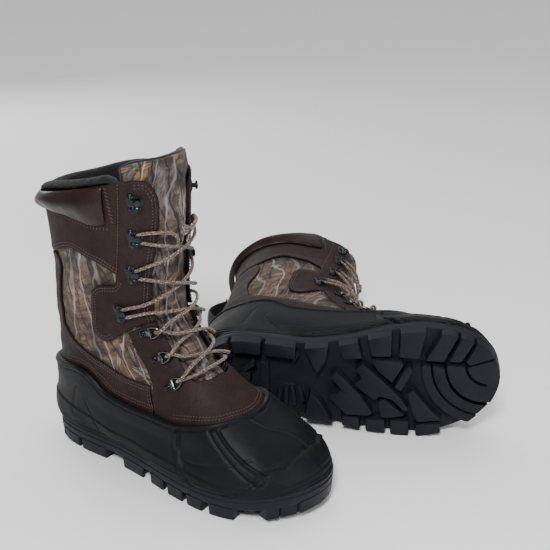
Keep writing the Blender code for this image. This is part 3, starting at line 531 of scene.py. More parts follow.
# ---------------------------------------------------------------- materials
class Graph:
    """Short forms for building one material's nodes."""

    def __init__(self, name):
        self.material = bpy.data.materials.new(name)
        self.material.use_nodes = True
        self.tree = self.material.node_tree
        self.shader = self.tree.nodes["Principled BSDF"]

    def add(self, kind, inputs=None, **settings):
        node = self.tree.nodes.new("ShaderNode" + kind)
        for key, value in settings.items():
            setattr(node, key, value)
        for key, value in (inputs or {}).items():
            self.put(node, key, value)
        return node

    def put(self, node, key, value):
        if isinstance(value, bpy.types.NodeSocket):
            self.tree.links.new(value, node.inputs[key])
        else:
            node.inputs[key].default_value = value

    def set(self, **inputs):
        for key, value in inputs.items():
            self.put(self.shader, key.replace("_", " "), value)

    def attribute(self, name, socket="Vector"):
        return self.add("Attribute", attribute_name=name).outputs[socket]

    def math(self, operation, a, b=0.0):
        return self.add("Math", {0: a, 1: b}, operation=operation).outputs[0]

    def mapped(self, vector, scale, offset=(0, 0, 0), turn=0.0):
        inputs = {"Vector": vector, "Scale": scale, "Location": offset, "Rotation": (0, 0, turn)}
        return self.add("Mapping", inputs).outputs[0]

    def noise(self, vector, scale, detail=3.0, rough=0.55, distortion=0.0, socket="Fac"):
        inputs = {"Vector": vector, "Scale": scale, "Detail": detail, "Roughness": rough,
                  "Distortion": distortion}
        return self.add("TexNoise", inputs).outputs[socket]

    def cells(self, vector, scale):
        node = self.add("TexVoronoi", {"Vector": vector, "Scale": scale}, feature="SMOOTH_F1")
        return node.outputs["Distance"]

    def wave(self, vector, scale, direction, **more):
        inputs = {"Vector": vector, "Scale": scale, **more}
        return self.add("TexWave", inputs, bands_direction=direction).outputs["Fac"]

    def ramp(self, factor, stops):
        node = self.add("ValToRGB", {"Fac": factor})
        ramp = node.color_ramp
        while len(ramp.elements) < len(stops):
            ramp.elements.new(0.5)
        for element, (place, colour) in zip(ramp.elements, stops):
            element.position = place
            element.color = (*colour, 1.0)
        return node.outputs[0]

    def fade(self, factor, low, high, start=0.0, end=1.0):
        inputs = {"Value": factor, "From Min": low, "From Max": high, "To Min": start, "To Max": end}
        return self.add("MapRange", inputs, clamp=True).outputs[0]

    def mix(self, factor, a, b, blend="MIX"):
        node = self.add("Mix", data_type="RGBA", blend_type=blend)
        for key, value in ((0, factor), (6, a), (7, b)):
            if isinstance(value, tuple) and len(value) == 3:
                value = (*value, 1.0)
            self.put(node, key, value)
        return node.outputs[2]

    def bump(self, height, distance, strength=1.0, normal=None):
        inputs = {"Height": height, "Distance": distance, "Strength": strength}
        if normal is not None:
            inputs["Normal"] = normal
        return self.add("Bump", inputs).outputs[0]


def times(colour, share):
    return tuple(c * share for c in colour)


def leather(name, dark, light, rough, grain=850.0, coat=0.0):
    g = Graph(name)
    place = g.attribute("place")
    pebble = g.cells(g.mapped(place, (1, 1, 1.25)), grain)
    pores = g.noise(place, 2600.0, 2.0)
    cloudy = g.noise(place, 17.0, 4.0, 0.6)
    fine = g.noise(place, 120.0, 3.0)
    tone = g.math("ADD", g.math("MULTIPLY", cloudy, 0.65), g.math("MULTIPLY", fine, 0.35))
    colour = g.ramp(tone, [(0.34, dark), (0.66, light)])
    colour = g.mix(g.fade(pebble, 0.25, 0.75), colour, times(dark, 0.62))
    edge = g.fade(g.attribute("edge", "Fac"), 0.0, 0.9)
    colour = g.mix(edge, times(dark, 0.45), colour)
    g.set(Base_Color=colour, Roughness=g.fade(tone, 0.3, 0.7, rough + 0.07, rough - 0.07),
          Specular_IOR_Level=0.2)
    if coat:
        g.set(Coat_Weight=coat, Coat_Roughness=0.22)
    height = g.math("SUBTRACT", g.math("MULTIPLY", pores, 0.25), pebble)
    broad = g.bump(g.noise(place, 60.0, 3.0), 0.0012, 0.35)
    g.set(Normal=g.bump(height, 0.00028, 0.55, broad))
    return g.material


def rubber(name, base, rough, scuff):
    g = Graph(name)
    place = g.attribute("place")
    fine = g.noise(place, 1900.0, 3.0, 0.6)
    cloudy = g.noise(place, 26.0, 5.0, 0.62)
    streak = g.noise(g.mapped(place, (9, 60, 60)), 4.0, 4.0, 0.6)
    colour = g.ramp(cloudy, [(0.3, times(base, 0.75)), (0.7, times(base, 1.3))])
    colour = g.mix(g.fade(streak, 0.62, 0.8, 0.0, scuff), colour, (0.075, 0.076, 0.082))
    rough_map = g.math("ADD", g.fade(cloudy, 0.3, 0.7, rough - 0.06, rough + 0.08),
                       g.fade(streak, 0.6, 0.8, 0.0, 0.12))
    g.set(Base_Color=colour, Roughness=rough_map, Specular_IOR_Level=0.13)
    broad = g.bump(g.noise(place, 38.0, 2.0), 0.0014, 0.22)
    g.set(Normal=g.bump(fine, 0.00016, 0.5, broad))
    return g.material


def leaf_layer(g, flat, scale, seed, width):
    """Leaf shapes turned at random, one to a cell: their mask, dark rim, rib shade and a random value."""
    spot = g.mapped(flat, (1, 1, 1), (seed, seed * 0.7, 0))
    cell = g.add("TexVoronoi", {"Vector": spot, "Scale": scale, "Randomness": 0.85}, voronoi_dimensions="2D")
    away = g.add("VectorMath", {0: spot, 1: cell.outputs["Position"]}, operation="SUBTRACT").outputs[0]
    chance = g.add("SeparateXYZ", {0: cell.outputs["Color"]})
    angle = g.math("MULTIPLY", chance.outputs[0], 6.283)
    turned = g.add("VectorRotate", {"Vector": away, "Angle": angle}, rotation_type="Z_AXIS").outputs[0]
    local = g.add("SeparateXYZ", {0: g.add("VectorMath", {0: turned, "Scale": scale},
                                           operation="SCALE").outputs[0]})
    x, y = local.outputs[0], g.math("ABSOLUTE", local.outputs[1])
    taper = g.math("SUBTRACT", 1.0, g.math("POWER", g.math("ABSOLUTE", g.math("DIVIDE", x, 0.47)), 1.7))
    teeth = g.math("MULTIPLY", g.math("SINE", g.math("MULTIPLY", x, 70.0)), 0.012)
    reach = g.math("SUBTRACT", g.math("ADD", g.math("MULTIPLY", taper, width), teeth), y)
    there = g.math("LESS_THAN", chance.outputs[1], LEAF_SHARE)
    mask = g.math("MULTIPLY", g.fade(reach, 0.0, 0.02), there)
    rim = g.math("MULTIPLY", g.fade(reach, -0.07, 0.0), there)
    rib = g.fade(y, 0.006, 0.022)
    veins = g.math("SINE", g.math("MULTIPLY", g.math("ADD", x, g.math("MULTIPLY", y, 1.5)), 75.0))
    shade = g.math("MULTIPLY", rib, g.fade(veins, -1.0, 0.2, 0.72, 1.0))
    return mask, rim, shade, chance.outputs[2]


TAN_BELOW = (-0.088, -0.118)                # metres down the quarters where the print turns to tan leaves
LEAF_SHARE = 0.42                           # share of the cells that hold a leaf
LEAF_LAYERS = (                             # cells in a metre, shift, half width of a leaf, its colours
    (30.0, 0.13, 0.18, [(0.0, (0.30, 0.15, 0.07)), (0.3, (0.50, 0.27, 0.13)), (0.5, (0.26, 0.17, 0.13)),
                        (0.75, (0.38, 0.31, 0.28)), (1.0, (0.09, 0.06, 0.05))]),
    (48.0, 0.71, 0.14, [(0.0, (0.46, 0.40, 0.37)), (0.35, (0.20, 0.13, 0.10)), (0.6, (0.42, 0.24, 0.13)),
                        (0.8, (0.15, 0.15, 0.11)), (1.0, (0.5, 0.44, 0.42))]))


def camouflage(name, seed=0.0, painted_shade=1.0, tan_share=0.0):
    """Printed bark, twigs and leaves on woven nylon. The third argument is a painted shade: it darkens the
    whole print.
    """
    g = Graph(name)
    flat = g.mapped(g.attribute("cloth"), (1, 1, 1), (seed, seed * 0.37, 0))
    drift = g.noise(flat, 16.0, 3.0, 0.5, socket="Color")
    drift = g.add("VectorMath", {0: drift, 1: (0.5, 0.5, 0.5)}, operation="SUBTRACT").outputs[0]
    drift = g.add("VectorMath", {0: drift, "Scale": 0.022}, operation="SCALE").outputs[0]
    bent = g.add("VectorMath", {0: flat, 1: drift}, operation="ADD").outputs[0]

    bark = g.noise(g.mapped(bent, (1, 0.22, 1)), 170.0, 7.0, 0.72)
    colour = g.ramp(bark, [(0.33, (0.010, 0.007, 0.006)), (0.44, (0.050, 0.036, 0.033)),
                           (0.52, (0.165, 0.135, 0.130)), (0.62, (0.36, 0.31, 0.30)),
                           (0.75, (0.56, 0.51, 0.50))])
    across = g.noise(g.mapped(bent, (0.25, 1, 1), turn=0.7), 190.0, 5.0, 0.66)
    fallen = g.ramp(across, [(0.34, (0.025, 0.018, 0.014)), (0.5, (0.16, 0.115, 0.095)),
                             (0.68, (0.38, 0.30, 0.26))])
    region = g.fade(g.noise(bent, 21.0, 3.0, 0.5), 0.5, 0.56)
    colour = g.mix(region, colour, fallen)
    colour = g.mix(0.3, colour, (0.080, 0.055, 0.050))
    moss = g.fade(g.noise(g.mapped(bent, (1, 1, 1), (0.3, 0.1, 0)), 19.0, 4.0, 0.6), 0.57, 0.66)
    green = g.ramp(g.noise(bent, 420.0, 4.0), [(0.35, (0.035, 0.04, 0.03)), (0.65, (0.14, 0.145, 0.115))])
    colour = g.mix(g.math("MULTIPLY", moss, 0.8), colour, green)

    height = g.add("SeparateXYZ", {0: g.attribute("cloth")}).outputs[1]
    tan = g.ramp(across, [(0.34, (0.05, 0.025, 0.015)), (0.5, (0.25, 0.135, 0.07)),
                          (0.68, (0.46, 0.31, 0.20))])
    colour = g.mix(g.fade(height, TAN_BELOW[0], TAN_BELOW[1], 0.0, tan_share), colour, tan)
    # painted shade: the whole print is multiplied by the third argument, 0.68 on the quarters
    colour = g.mix(1.0, colour, (painted_shade, painted_shade, painted_shade), "MULTIPLY")

    for scale, shift, width, stops in LEAF_LAYERS:
        mask, rim, shade, chance = leaf_layer(g, bent, scale, shift + seed, width)
        colour = g.mix(g.math("MULTIPLY", rim, 0.75), colour, (0.016, 0.012, 0.011))
        leaf = g.mix(1.0, g.ramp(chance, stops), shade, "MULTIPLY")
        leaf = g.mix(g.fade(g.noise(bent, 330.0, 3.0), 0.42, 0.7, 0.0, 0.45), leaf, (0.10, 0.075, 0.06))
        colour = g.mix(g.math("MULTIPLY", mask, 0.9), colour, leaf)

    twig = g.wave(g.mapped(bent, (1, 0.5, 1), turn=0.5), 26.0, "X",
                  **{"Distortion": 7.0, "Detail": 3.0, "Detail Scale": 1.3})
    colour = g.mix(g.fade(twig, 0.07, 0.02, 0.0, 0.85), colour, (0.02, 0.015, 0.014))
    pale = g.wave(g.mapped(bent, (1, 0.3, 1), (0.2, 0, 0), -0.35), 17.0, "X",
                  **{"Distortion": 9.0, "Detail": 3.0, "Detail Scale": 1.6})
    colour = g.mix(g.fade(pale, 0.95, 1.0, 0.0, 0.55), colour, (0.52, 0.47, 0.46))
    shadow = g.fade(g.noise(g.mapped(bent, (1, 0.6, 1), (0.5, 0.2, 0)), 30.0, 2.0), 0.36, 0.6, 0.35, 1.0)
    shadow = g.add("CombineColor", {0: shadow, 1: shadow, 2: shadow}).outputs[0]
    colour = g.mix(1.0, colour, shadow, "MULTIPLY")

    warp, weft = g.wave(flat, 560.0, "X"), g.wave(flat, 560.0, "Y")
    weave = g.math("MULTIPLY", warp, weft)
    colour = g.mix(g.fade(weave, 0.0, 0.5, 0.28, 0.0), colour, (0.02, 0.017, 0.016))
    g.set(Base_Color=colour, Roughness=0.82, Sheen_Weight=0.06, Sheen_Roughness=0.5,
          Specular_IOR_Level=0.2)
    soft = g.bump(g.noise(flat, 75.0, 4.0), 0.0011, 0.35)
    g.set(Normal=g.bump(weave, 0.00022, 0.7, soft))
    return g.material


def metal(name, base, rough):
    g = Graph(name)
    place = g.attribute("place")
    worn = g.noise(place, 520.0, 4.0, 0.6)
    colour = g.ramp(worn, [(0.35, times(base, 0.7)), (0.72, times(base, 1.6))])
    g.set(Base_Color=colour, Metallic=1.0, Roughness=g.fade(worn, 0.3, 0.7, rough + 0.1, rough - 0.05))
    g.set(Normal=g.bump(g.noise(place, 1500.0, 2.0), 0.00006, 0.5))
    return g.material


def pile(name, dark, light, scale, depth, sheen):
    """Fleece or felt: tangled short fibres."""
    g = Graph(name)
    place = g.attribute("place")
    tangle = g.noise(place, scale, 5.0, 0.72, 1.4)
    tufts = g.cells(place, scale * 0.28)
    colour = g.ramp(tangle, [(0.32, dark), (0.7, light)])
    g.set(Base_Color=colour, Roughness=0.96, Sheen_Weight=sheen, Sheen_Roughness=0.6,
          Specular_IOR_Level=0.2)
    clumps = g.bump(tufts, depth * 2.2, 0.6)
    g.set(Normal=g.bump(tangle, depth, 1.0, clumps))
    return g.material


def webbing_material():
    g = Graph("black_webbing")
    cloth = g.attribute("cloth")
    warp = g.wave(cloth, 190.0, "X")
    weft = g.wave(g.mapped(cloth, (1, 1, 1), turn=0.5), 330.0, "Y")
    weave = g.math("ADD", g.math("MULTIPLY", warp, 0.7), g.math("MULTIPLY", weft, 0.3))
    colour = g.ramp(weave, [(0.2, (0.006, 0.006, 0.007)), (0.9, (0.035, 0.035, 0.038))])
    g.set(Base_Color=colour, Roughness=0.82, Sheen_Weight=0.2, Sheen_Roughness=0.5)
    g.set(Normal=g.bump(weave, 0.0004, 0.9))
    return g.material


def lace_material():
    """Braided lace: brown carriers with tan and dark flecks; its cloth value is length and turn."""
    g = Graph("braided_lace")
    cloth = g.attribute("cloth")
    left, right = (g.wave(g.mapped(cloth, (1, 1, 1), turn=turn), 240.0, "X") for turn in (0.62, -0.62))
    strands = g.math("MAXIMUM", left, right)
    fleck = g.noise(g.mapped(cloth, (1, 2.2, 1)), 520.0, 2.0, 0.5)
    colour = g.ramp(fleck, [(0.36, (0.030, 0.016, 0.012)), (0.48, (0.085, 0.046, 0.032)),
                            (0.57, (0.20, 0.14, 0.11)), (0.66, (0.48, 0.40, 0.34))])
    colour = g.mix(g.fade(strands, 0.2, 0.75, 0.75, 0.0), colour, (0.02, 0.012, 0.01))
    g.set(Base_Color=colour, Roughness=0.7, Sheen_Weight=0.2, Sheen_Roughness=0.5)
    g.set(Normal=g.bump(strands, 0.0003, 0.8))
    return g.material


def thread_material():
    g = Graph("sewing_thread")
    place = g.attribute("place")
    ply = g.noise(place, 2400.0, 2.0)
    colour = g.ramp(ply, [(0.3, (0.018, 0.009, 0.007)), (0.7, (0.075, 0.040, 0.032))])
    g.set(Base_Color=colour, Roughness=0.55)
    g.set(Normal=g.bump(ply, 0.0001, 0.7))
    return g.material


def board_material():
    g = Graph("insole_board")
    place = g.add("TexCoord").outputs["Object"]
    fibres = g.noise(g.mapped(place, (1, 3, 1)), 700.0, 5.0, 0.7)
    g.set(Base_Color=g.ramp(fibres, [(0.3, (0.24, 0.18, 0.12)), (0.7, (0.44, 0.36, 0.27))]), Roughness=0.9)
    g.set(Normal=g.bump(fibres, 0.0003, 0.6))
    return g.material


def spring_steel():
    g = Graph("spring_steel")
    place = g.add("TexCoord").outputs["Object"]
    brushed = g.noise(g.mapped(place, (0.05, 1, 1)), 2600.0, 3.0)
    g.set(Base_Color=g.ramp(brushed, [(0.3, (0.36, 0.36, 0.38)), (0.7, (0.6, 0.6, 0.62))]), Metallic=1.0)
    g.set(Roughness=g.fade(brushed, 0.3, 0.7, 0.28, 0.42), Normal=g.bump(brushed, 0.00008, 0.6))
    return g.material


LEATHER = leather("brown_leather", (0.0125, 0.0052, 0.0049), (0.026, 0.0125, 0.0118), 0.66)
PAD_LEATHER = leather("collar_leather", (0.010, 0.0030, 0.0030), (0.020, 0.0066, 0.0062), 0.42, 1000.0, 0.12)
SHELL_RUBBER = rubber("shell_rubber", (0.0045, 0.0047, 0.0060), 0.5, 0.06)
SOLE_RUBBER = rubber("outsole_rubber", (0.0090, 0.0096, 0.0125), 0.5, 0.18)
# the quarters' copy of the print is darkened to 0.68 of the tongue's as painted shade
CAMO = camouflage("camouflage_quarters", 0.0, 0.68, 0.6)
CAMO_TONGUE = camouflage("camouflage_tongue", 0.41)
GUNMETAL = metal("black_nickel", (0.026, 0.029, 0.033), 0.2)
BRIGHT = metal("worn_nickel", (0.085, 0.089, 0.094), 0.22)
FLEECE = pile("fleece_lining", (0.002, 0.002, 0.0025), (0.012, 0.012, 0.0135), 900.0, 0.0007, 0.08)
FELT = pile("footbed_felt", (0.03, 0.03, 0.033), (0.11, 0.11, 0.12), 1500.0, 0.0003, 0.2)
WEBBING = webbing_material()
LACE = lace_material()
THREAD = thread_material()
PIPING = pile("piping", (0.006, 0.006, 0.007), (0.024, 0.024, 0.026), 2200.0, 0.0002, 0.15)
BOARD = board_material()
STEEL = spring_steel()


# ---------------------------------------------------------------- rubber shell
RIB_RUNS = [[(10.1, 81), (10.6, 101), (11.35, 129)], [(11.05, 53), (11.9, 64), (12.75, 75), (13.55, 87)]]
RIDGE_RUNS = [[(11.6, 15), (12.55, 9), (13.05, 1), (13.7, -7), (14.45, -18)]]
ARC_RUN = [(11.0, 102), (11.45, 97), (11.95, 88), (12.5, 77), (13.05, 61)]
TOE_CAP = [(-126, 12.35), (-94, 13.35), (-51, 14.2), (0, 14.4), (51, 14.2), (94, 13.35), (126, 12.35)]
COUNTER_RUNS = [[(5.75, 127), (6.5, 147)], [(6.55, 109), (7.05, 123)], [(7.15, 108), (7.75, 117)]]
BAND_HEIGHT = ([0, 60, 120, 180, 240, 316], [33, 30, 24, 18, 15, 22])
MIDSOLE_GROOVES = ((3.2, 0.9), (8.6, 0.8), (13.4, 0.5))      # height above the welt and depth
SHELL_COLUMNS = 230
SHELL_LIP_ROWS = [0, 0.006, 0.014, 0.024, 0.036, 0.05, 0.064, 0.078, 0.092]
SNUG = 2.3                                  # inner face of the shell's lip where it grips the foxing


def shell_line(run):
    """Close points on the shell's plain face along a run."""
    points = smooth_run(run, 24)
    return form(points[:, 0], points[:, 1], SHELL_OUT)


def shell_lines(runs):
    """The same for several runs on both halves."""
    return np.vstack([shell_line([(s, k * a) for s, a in run]) for run in runs for k in (1, -1)])


def shell_relief(points, down, up, section, angle):
    """Height in millimetres of the moulded detail on the rubber shell."""
    relief = -1.5 * (1 - smooth_step(down / 1.2)) + 0.9 * window(down, 1.6, 3.6, 0.9)
    relief -= 0.75 * np.exp(-((down - 5.6) / 0.8) ** 2)
    clear = smooth_step((down - 5.5) / 2.5)
    half = folded(angle)
    for run in RIB_RUNS:
        gap = nearest(points, shell_lines([run]))
        relief += clear * (1.7 * window(gap, -1, 1.7, 1.3) - 1.2 * np.exp(-((gap - 4.3) / 1.1) ** 2))
    for run in RIDGE_RUNS:
        gap = nearest(points, shell_line(run))
        relief += clear * 1.8 * np.exp(-(gap / 1.7) ** 2)
    relief -= 0.7 * np.exp(-(nearest(points, shell_lines([ARC_RUN])) / 1.1) ** 2)
    relief -= 0.8 * np.exp(-(nearest(points, shell_lines(COUNTER_RUNS)) / 1.2) ** 2)
    turned = (np.asarray(angle) + 180) % 360 - 180
    past = (section - np.interp(turned, *zip(*TOE_CAP))) * 20.0
    toe = window(half, -1, 118, 20)
    relief += toe * (1.9 * smooth_step(past / 3.0 + 0.5) - 1.1 * np.exp(-((past + 2.2) / 1.4) ** 2))
    band = np.interp(points[:, 0], *BAND_HEIGHT)
    relief += (1 - toe * smooth_step(past / 3)) * 1.1 * smooth_step((band - up) / 1.6)
    for level, depth in MIDSOLE_GROOVES:
        relief -= depth * np.exp(-((up - level) / 0.75) ** 2) * (1 - 0.5 * toe * (level > 12))
    return relief


def shell_grid(off, rows, inward=0.0, relief=None):
    last = len(SHELL_TOP) - 1
    stations = last - last * np.linspace(1, 0, SHELL_COLUMNS) ** 1.45
    halves, sections, angles = [], [], []
    for sign, welt in ((1, WELT_OUTER), (-1, WELT_INNER)):
        top, turn, edge = spline(SHELL_TOP, stations), spline(SHELL_TURN, stations), spline(welt, stations)
        middle = np.array([150.0, 2.0]) - edge
        middle[:, 0] *= 0.35
        edge = edge + middle / np.linalg.norm(middle, axis=1, keepdims=True) * inward
        foot = np.column_stack([edge, PLATE_TOP + 0.2 + spring(edge[:, 0])])
        low = form(turn[:, 0], sign * turn[:, 1], off)
        grid, grid_s, grid_a = [], [], []
        for k, h in enumerate(rows):
            at = top + (turn - top) * h
            flare = smooth_step((h - 0.35) / 0.65)
            extra = 0.0 if relief is None else relief[k, :, 0 if sign > 0 else 1]
            level = np.interp(folded(at[:, 1]), [88, 100], [3.3, SNUG]) if relief is None and h < 0.3 else off
            grid.append(form(at[:, 0], sign * at[:, 1], level + extra) + (foot - low) * flare)
            grid_s.append(at[:, 0])
            grid_a.append(sign * at[:, 1])
        halves.append(np.array(grid))
        sections.append(np.array(grid_s))
        angles.append(np.array(grid_a))
    return halves, sections, angles


def rubber_shell(side):
    rows = np.concatenate([SHELL_LIP_ROWS, np.linspace(0.11, 1, 74)])
    halves, sections, angles = shell_grid(SHELL_OUT, rows)
    relief = np.zeros(halves[0].shape[:2] + (2,))
    for k in range(2):
        grid = halves[k]
        down = np.array([travel(column) for column in grid.swapaxes(0, 1)]).T
        up = down[-1] - down
        plain = form(sections[k], angles[k], SHELL_OUT).reshape(-1, 3)
        found = shell_relief(plain, down.ravel(), up.ravel(), sections[k].ravel(), angles[k].ravel())
        relief[:, :, k] = found.reshape(down.shape)
    outer = shell_grid(SHELL_OUT, rows, 0.0, relief)[0]
    inner = shell_grid(SHELL_IN, rows, 3.4)[0]
    skins = [np.concatenate([halves[0], halves[1][:, -2:0:-1]], axis=1) for halves in (outer, inner)]
    shape = Shape().add(np.vstack([s.reshape(-1, 3) for s in skins]),
                        closed_grid(len(rows), skins[0].shape[1], True))
    piece("rubber_shell", side, shape, [SHELL_RUBBER])


# ---------------------------------------------------------------- outsole
LUG_ROOT, CORNER_RADIUS = PLATE_BOTTOM + 0.8, 1.6
MEDIAL_LUGS = [(14.93, 15.68, [(210.9, 31.5), (231.5, 30.8)]), (15.93, 16.55, [(183, 31), (202.8, 32)]),
               (16.8, 17.28, [(154.3, 27), (173.5, 28)]), (17.52, 18.1, [(126.4, 7), (136.5, 24)]),
               (13.95, 14.45, [(237.5, 29), (256.5, 28.5)]), (13.32, 13.82, [(261.5, 28.5), (274, 28)])]
LATERAL_LUGS = [(4.3, 4.97, [(133, -28), (121, -14)]), (5.22, 5.7, [(172, -42), (154.5, -42)]),
                (5.86, 6.4, [(199, -43), (179, -43)]), (6.56, 7.08, [(224.5, -43), (205, -43.5)]),
                (7.28, 8.0, [(257, -44), (231.5, -46.5)])]
TOE_EDGE = (12.1, 13.2, [(283, 24), (279, 28)])
TREAD_BARS = [[(141, 4.5), (147, 11.3), (155, 4.5), (161, -2.3), (172.7, -14.3), (186.4, -36), (182, -39),
               (157.2, -39), (153, -32.3), (138.9, -18), (154, -10.5)],
              [(166.5, 15), (174.1, 22), (185.2, 13), (203.5, -4), (213.8, -14.8), (223.5, -29.3),
               (219.4, -31.7), (205.8, -18.5), (193.3, -15), (187.6, -20), (178.6, -12.8), (165.8, -2.6),
               (173.5, 5.5)],
              [(191.5, -21.5), (197.5, -17.8), (211, -29), (220, -36.5), (205, -40), (195, -40)],
              [(182.5, 27), (213.8, 26.5), (216.2, 22.5), (205.3, 1.5), (190.3, 14.5)],
              [(218.6, 20), (222.9, 21.5), (226.2, 16.5), (214.6, -8), (207.4, -3)],
              [(221.6, -10), (227.1, -5.5), (241, -22), (247.5, -29.8), (258.5, -40), (233, -43.5),
               (228.8, -35.3), (225, -23.3)]]
HEEL_LUGS = [(-1.93, -1.05), (-0.93, -0.1), (0.02, 0.86), (0.98, 1.9), (2.02, 2.84), (2.96, 3.75)]
HEEL_MEDIAL_LUGS = [(18.3, 19.05), (19.15, 19.95)]
TOE_CENTRE, TOE_BANDS = np.array([305.0, 26.0]), [(71, 61.5), (59.5, 47.5), (45.5, 27)]
HEEL_BARS = [(42, 0, 30, 9, 0), (72, 1, 9, 36, 0), (54, 11, 17, 5.5, 35), (54, -11, 17, 5.5, -35)]
ARCH_BARS = [(86 + 8 * k, -30 + 3.0 * k, 4.5, 26 - 2 * k, -12 + 10 * k) for k in range(4)]
ARCH_BARS += [(104, 22, 14, 4.5, 62), (95, 27, 14, 4.5, 62)]
ARCH_TIP = 6.5                              # the bars under the arch stop this far above the ground
PLATE_RINGS = [(PLATE_TOP, 0.5), (23.4, -0.3), (20.9, -0.4), (20.2, 0.45), (19.3, 0.45), (18.6, -0.4),
               (13.2, -0.1), (PLATE_BOTTOM, 0.9)]
PLATE_COLUMNS = 220


def band_polygon(outer, inner, edge):
    """Curved tread band round the toe centre, between two radii and inside the outline."""
    runs = []
    for radius, turns in ((outer, np.radians(np.linspace(182, 300, 60))),
                          (inner, np.radians(np.linspace(300, 182, 60)))):
        arc = TOE_CENTRE + radius * np.column_stack([np.cos(turns), np.sin(turns)])
        runs.append(arc[inside(arc, edge)][::3])
    return np.vstack(runs)


def bar(x, y, length, width, turn):
    c, s = math.cos(math.radians(turn)), math.sin(math.radians(turn))
    corners = [(i * length / 2, j * width / 2) for i, j in ((-1, -1), (1, -1), (1, 1), (-1, 1))]
    return np.array([(x + u * c - v * s, y + u * s + v * c) for u, v in corners])


def rounded(polygon):
    """The polygon with its sharp corners rounded."""
    polygon = np.asarray(polygon, float)
    result = []
    for before, here, after in zip(np.roll(polygon, 1, axis=0), polygon, np.roll(polygon, -1, axis=0)):
        back, on = before - here, after - here
        lengths = np.linalg.norm(back), np.linalg.norm(on)
        turn = abs(np.cross(back, on)) / (lengths[0] * lengths[1] + 1e-9)
        if turn < 0.35:
            result.append(here)
            continue
        a = here + back * min(CORNER_RADIUS / lengths[0], 0.4)
        b = here + on * min(CORNER_RADIUS / lengths[1], 0.4)
        for t in (0.0, 0.33, 0.67, 1.0):
            result.append(a * (1 - t) ** 2 + here * 2 * t * (1 - t) + b * t * t)
    return np.array(result)


def lug(shape, polygon, tip=0.0):
    """Tread block: drafted walls and a chamfered tip."""
    polygon = rounded(polygon)
    if twice_area(polygon) < 0:
        polygon = polygon[::-1]
    rings = []
    for distance, z in ((-1.1, LUG_ROOT), (-0.5, LUG_ROOT - 1.6), (0.0, tip + 1.0), (0.28, tip + 0.3),
                        (0.95, tip)):
        ring = inset(polygon, distance)
        rings.append(np.column_stack([ring, z + spring(ring[:, 0])]))
    shape.add(np.vstack(rings), tube_faces(len(rings), len(polygon)))


def tread_polygons():
    edge = sole_outline(np.linspace(0, len(SOLE), 600, endpoint=False), 1.2)
    blocks = []
    for start, end, inner in MEDIAL_LUGS + LATERAL_LUGS + [TOE_EDGE]:
        outer = sole_outline(np.linspace(start, end, 5), 0.7)
        orders = np.vstack([outer, inner]), np.vstack([outer, inner[::-1]])
        blocks.append(max(orders, key=lambda points: abs(twice_area(points))))
    blocks += [np.array(points) for points in TREAD_BARS]
    blocks += [band_polygon(outer, inner, edge) for outer, inner in TOE_BANDS]
    turns = np.radians(np.linspace(190, 262, 6))
    tip = TOE_CENTRE + 24.5 * np.array([(math.cos(t), math.sin(t)) for t in turns])
    blocks.append(np.vstack([tip, sole_outline(np.linspace(9.95, 12.0, 8), 0.7)]))
    for runs, depth in ((HEEL_LUGS, 16.5), (HEEL_MEDIAL_LUGS, 15.0)):
        for start, end in runs:
            t = np.linspace(start, end, 5)
            blocks.append(np.vstack([sole_outline(t, 0.7), sole_outline(t[::-1], depth)]))
    return blocks + [bar(*place) for place in HEEL_BARS]


def capped(shape, ring, base, level):
    """Close a ring of the plate with flat triangles. Its points start at base in the shape."""
    flat, cap, _ = triangulated(ring[:, :2], 6.0, 1.5)
    tree = KDTree(len(ring))
    for n, p in enumerate(ring[:, :2]):
        tree.insert(Vector((*p, 0)), n)
    tree.balance()
    match, extra = {}, []
    for n, p in enumerate(flat):
        _, index, distance = tree.find(Vector((*p, 0)))
        if distance < 1e-3:
            match[n] = base + index
        else:
            match[n] = shape.count + len(extra)
            extra.append((p[0], p[1], level + float(spring(p[0]))))
    shape.add(extra, [])
    shape.faces += [[match[v] for v in face] for face in cap]
    shape.marks += [0] * len(cap)


def outsole(side):
    t = np.linspace(0, len(SOLE), PLATE_COLUMNS, endpoint=False)
    rings = []
    for z, distance in PLATE_RINGS:
        ring = sole_outline(t, distance)
        rings.append(np.column_stack([ring, z + spring(ring[:, 0])]))
    shape = Shape().add(np.vstack(rings), grid_faces(len(rings), PLATE_COLUMNS, True))
    for k in (0, len(rings) - 1):
        capped(shape, rings[k], k * PLATE_COLUMNS, PLATE_RINGS[k][0])
    for polygon in tread_polygons():
        lug(shape, polygon)
    for place in ARCH_BARS:
        lug(shape, bar(*place), ARCH_TIP)
    piece("outsole", side, shape, [SOLE_RUBBER], sharp=32)


# ---------------------------------------------------------------- liner and inner sole
def fuzz(points, size, height):
    """Uneven pile: a noise value for each point."""
    return np.array([noise.noise(Vector(p) / size) for p in points]) * height


def tongue_half_angle(section):
    return np.interp(section, [-1, 0, 1, 2, 4, 6, 8, 9], [53.5, 52, 46, 44, 40, 35, 30, 27])


def liner_gap(section):
    return np.interp(section, [-1, 2, 4, 6, 8, 9], [41, 38, 36, 32, 28, 26]) + 15


LINER_MOUTH = [(0.0, -2.0), (-0.05, 0.6), (-0.12, 1.9), (-0.19, 1.2), (-0.245, -1.4)]      # (section, off)
LINER_MOUTH_INNER = [(-0.02, -10.9), (-0.09, -10.7), (-0.16, -9.9), (-0.21, -8.2), (-0.25, -5.0)]
LINER_COLUMNS, SOCK_COLUMNS = 120, 64


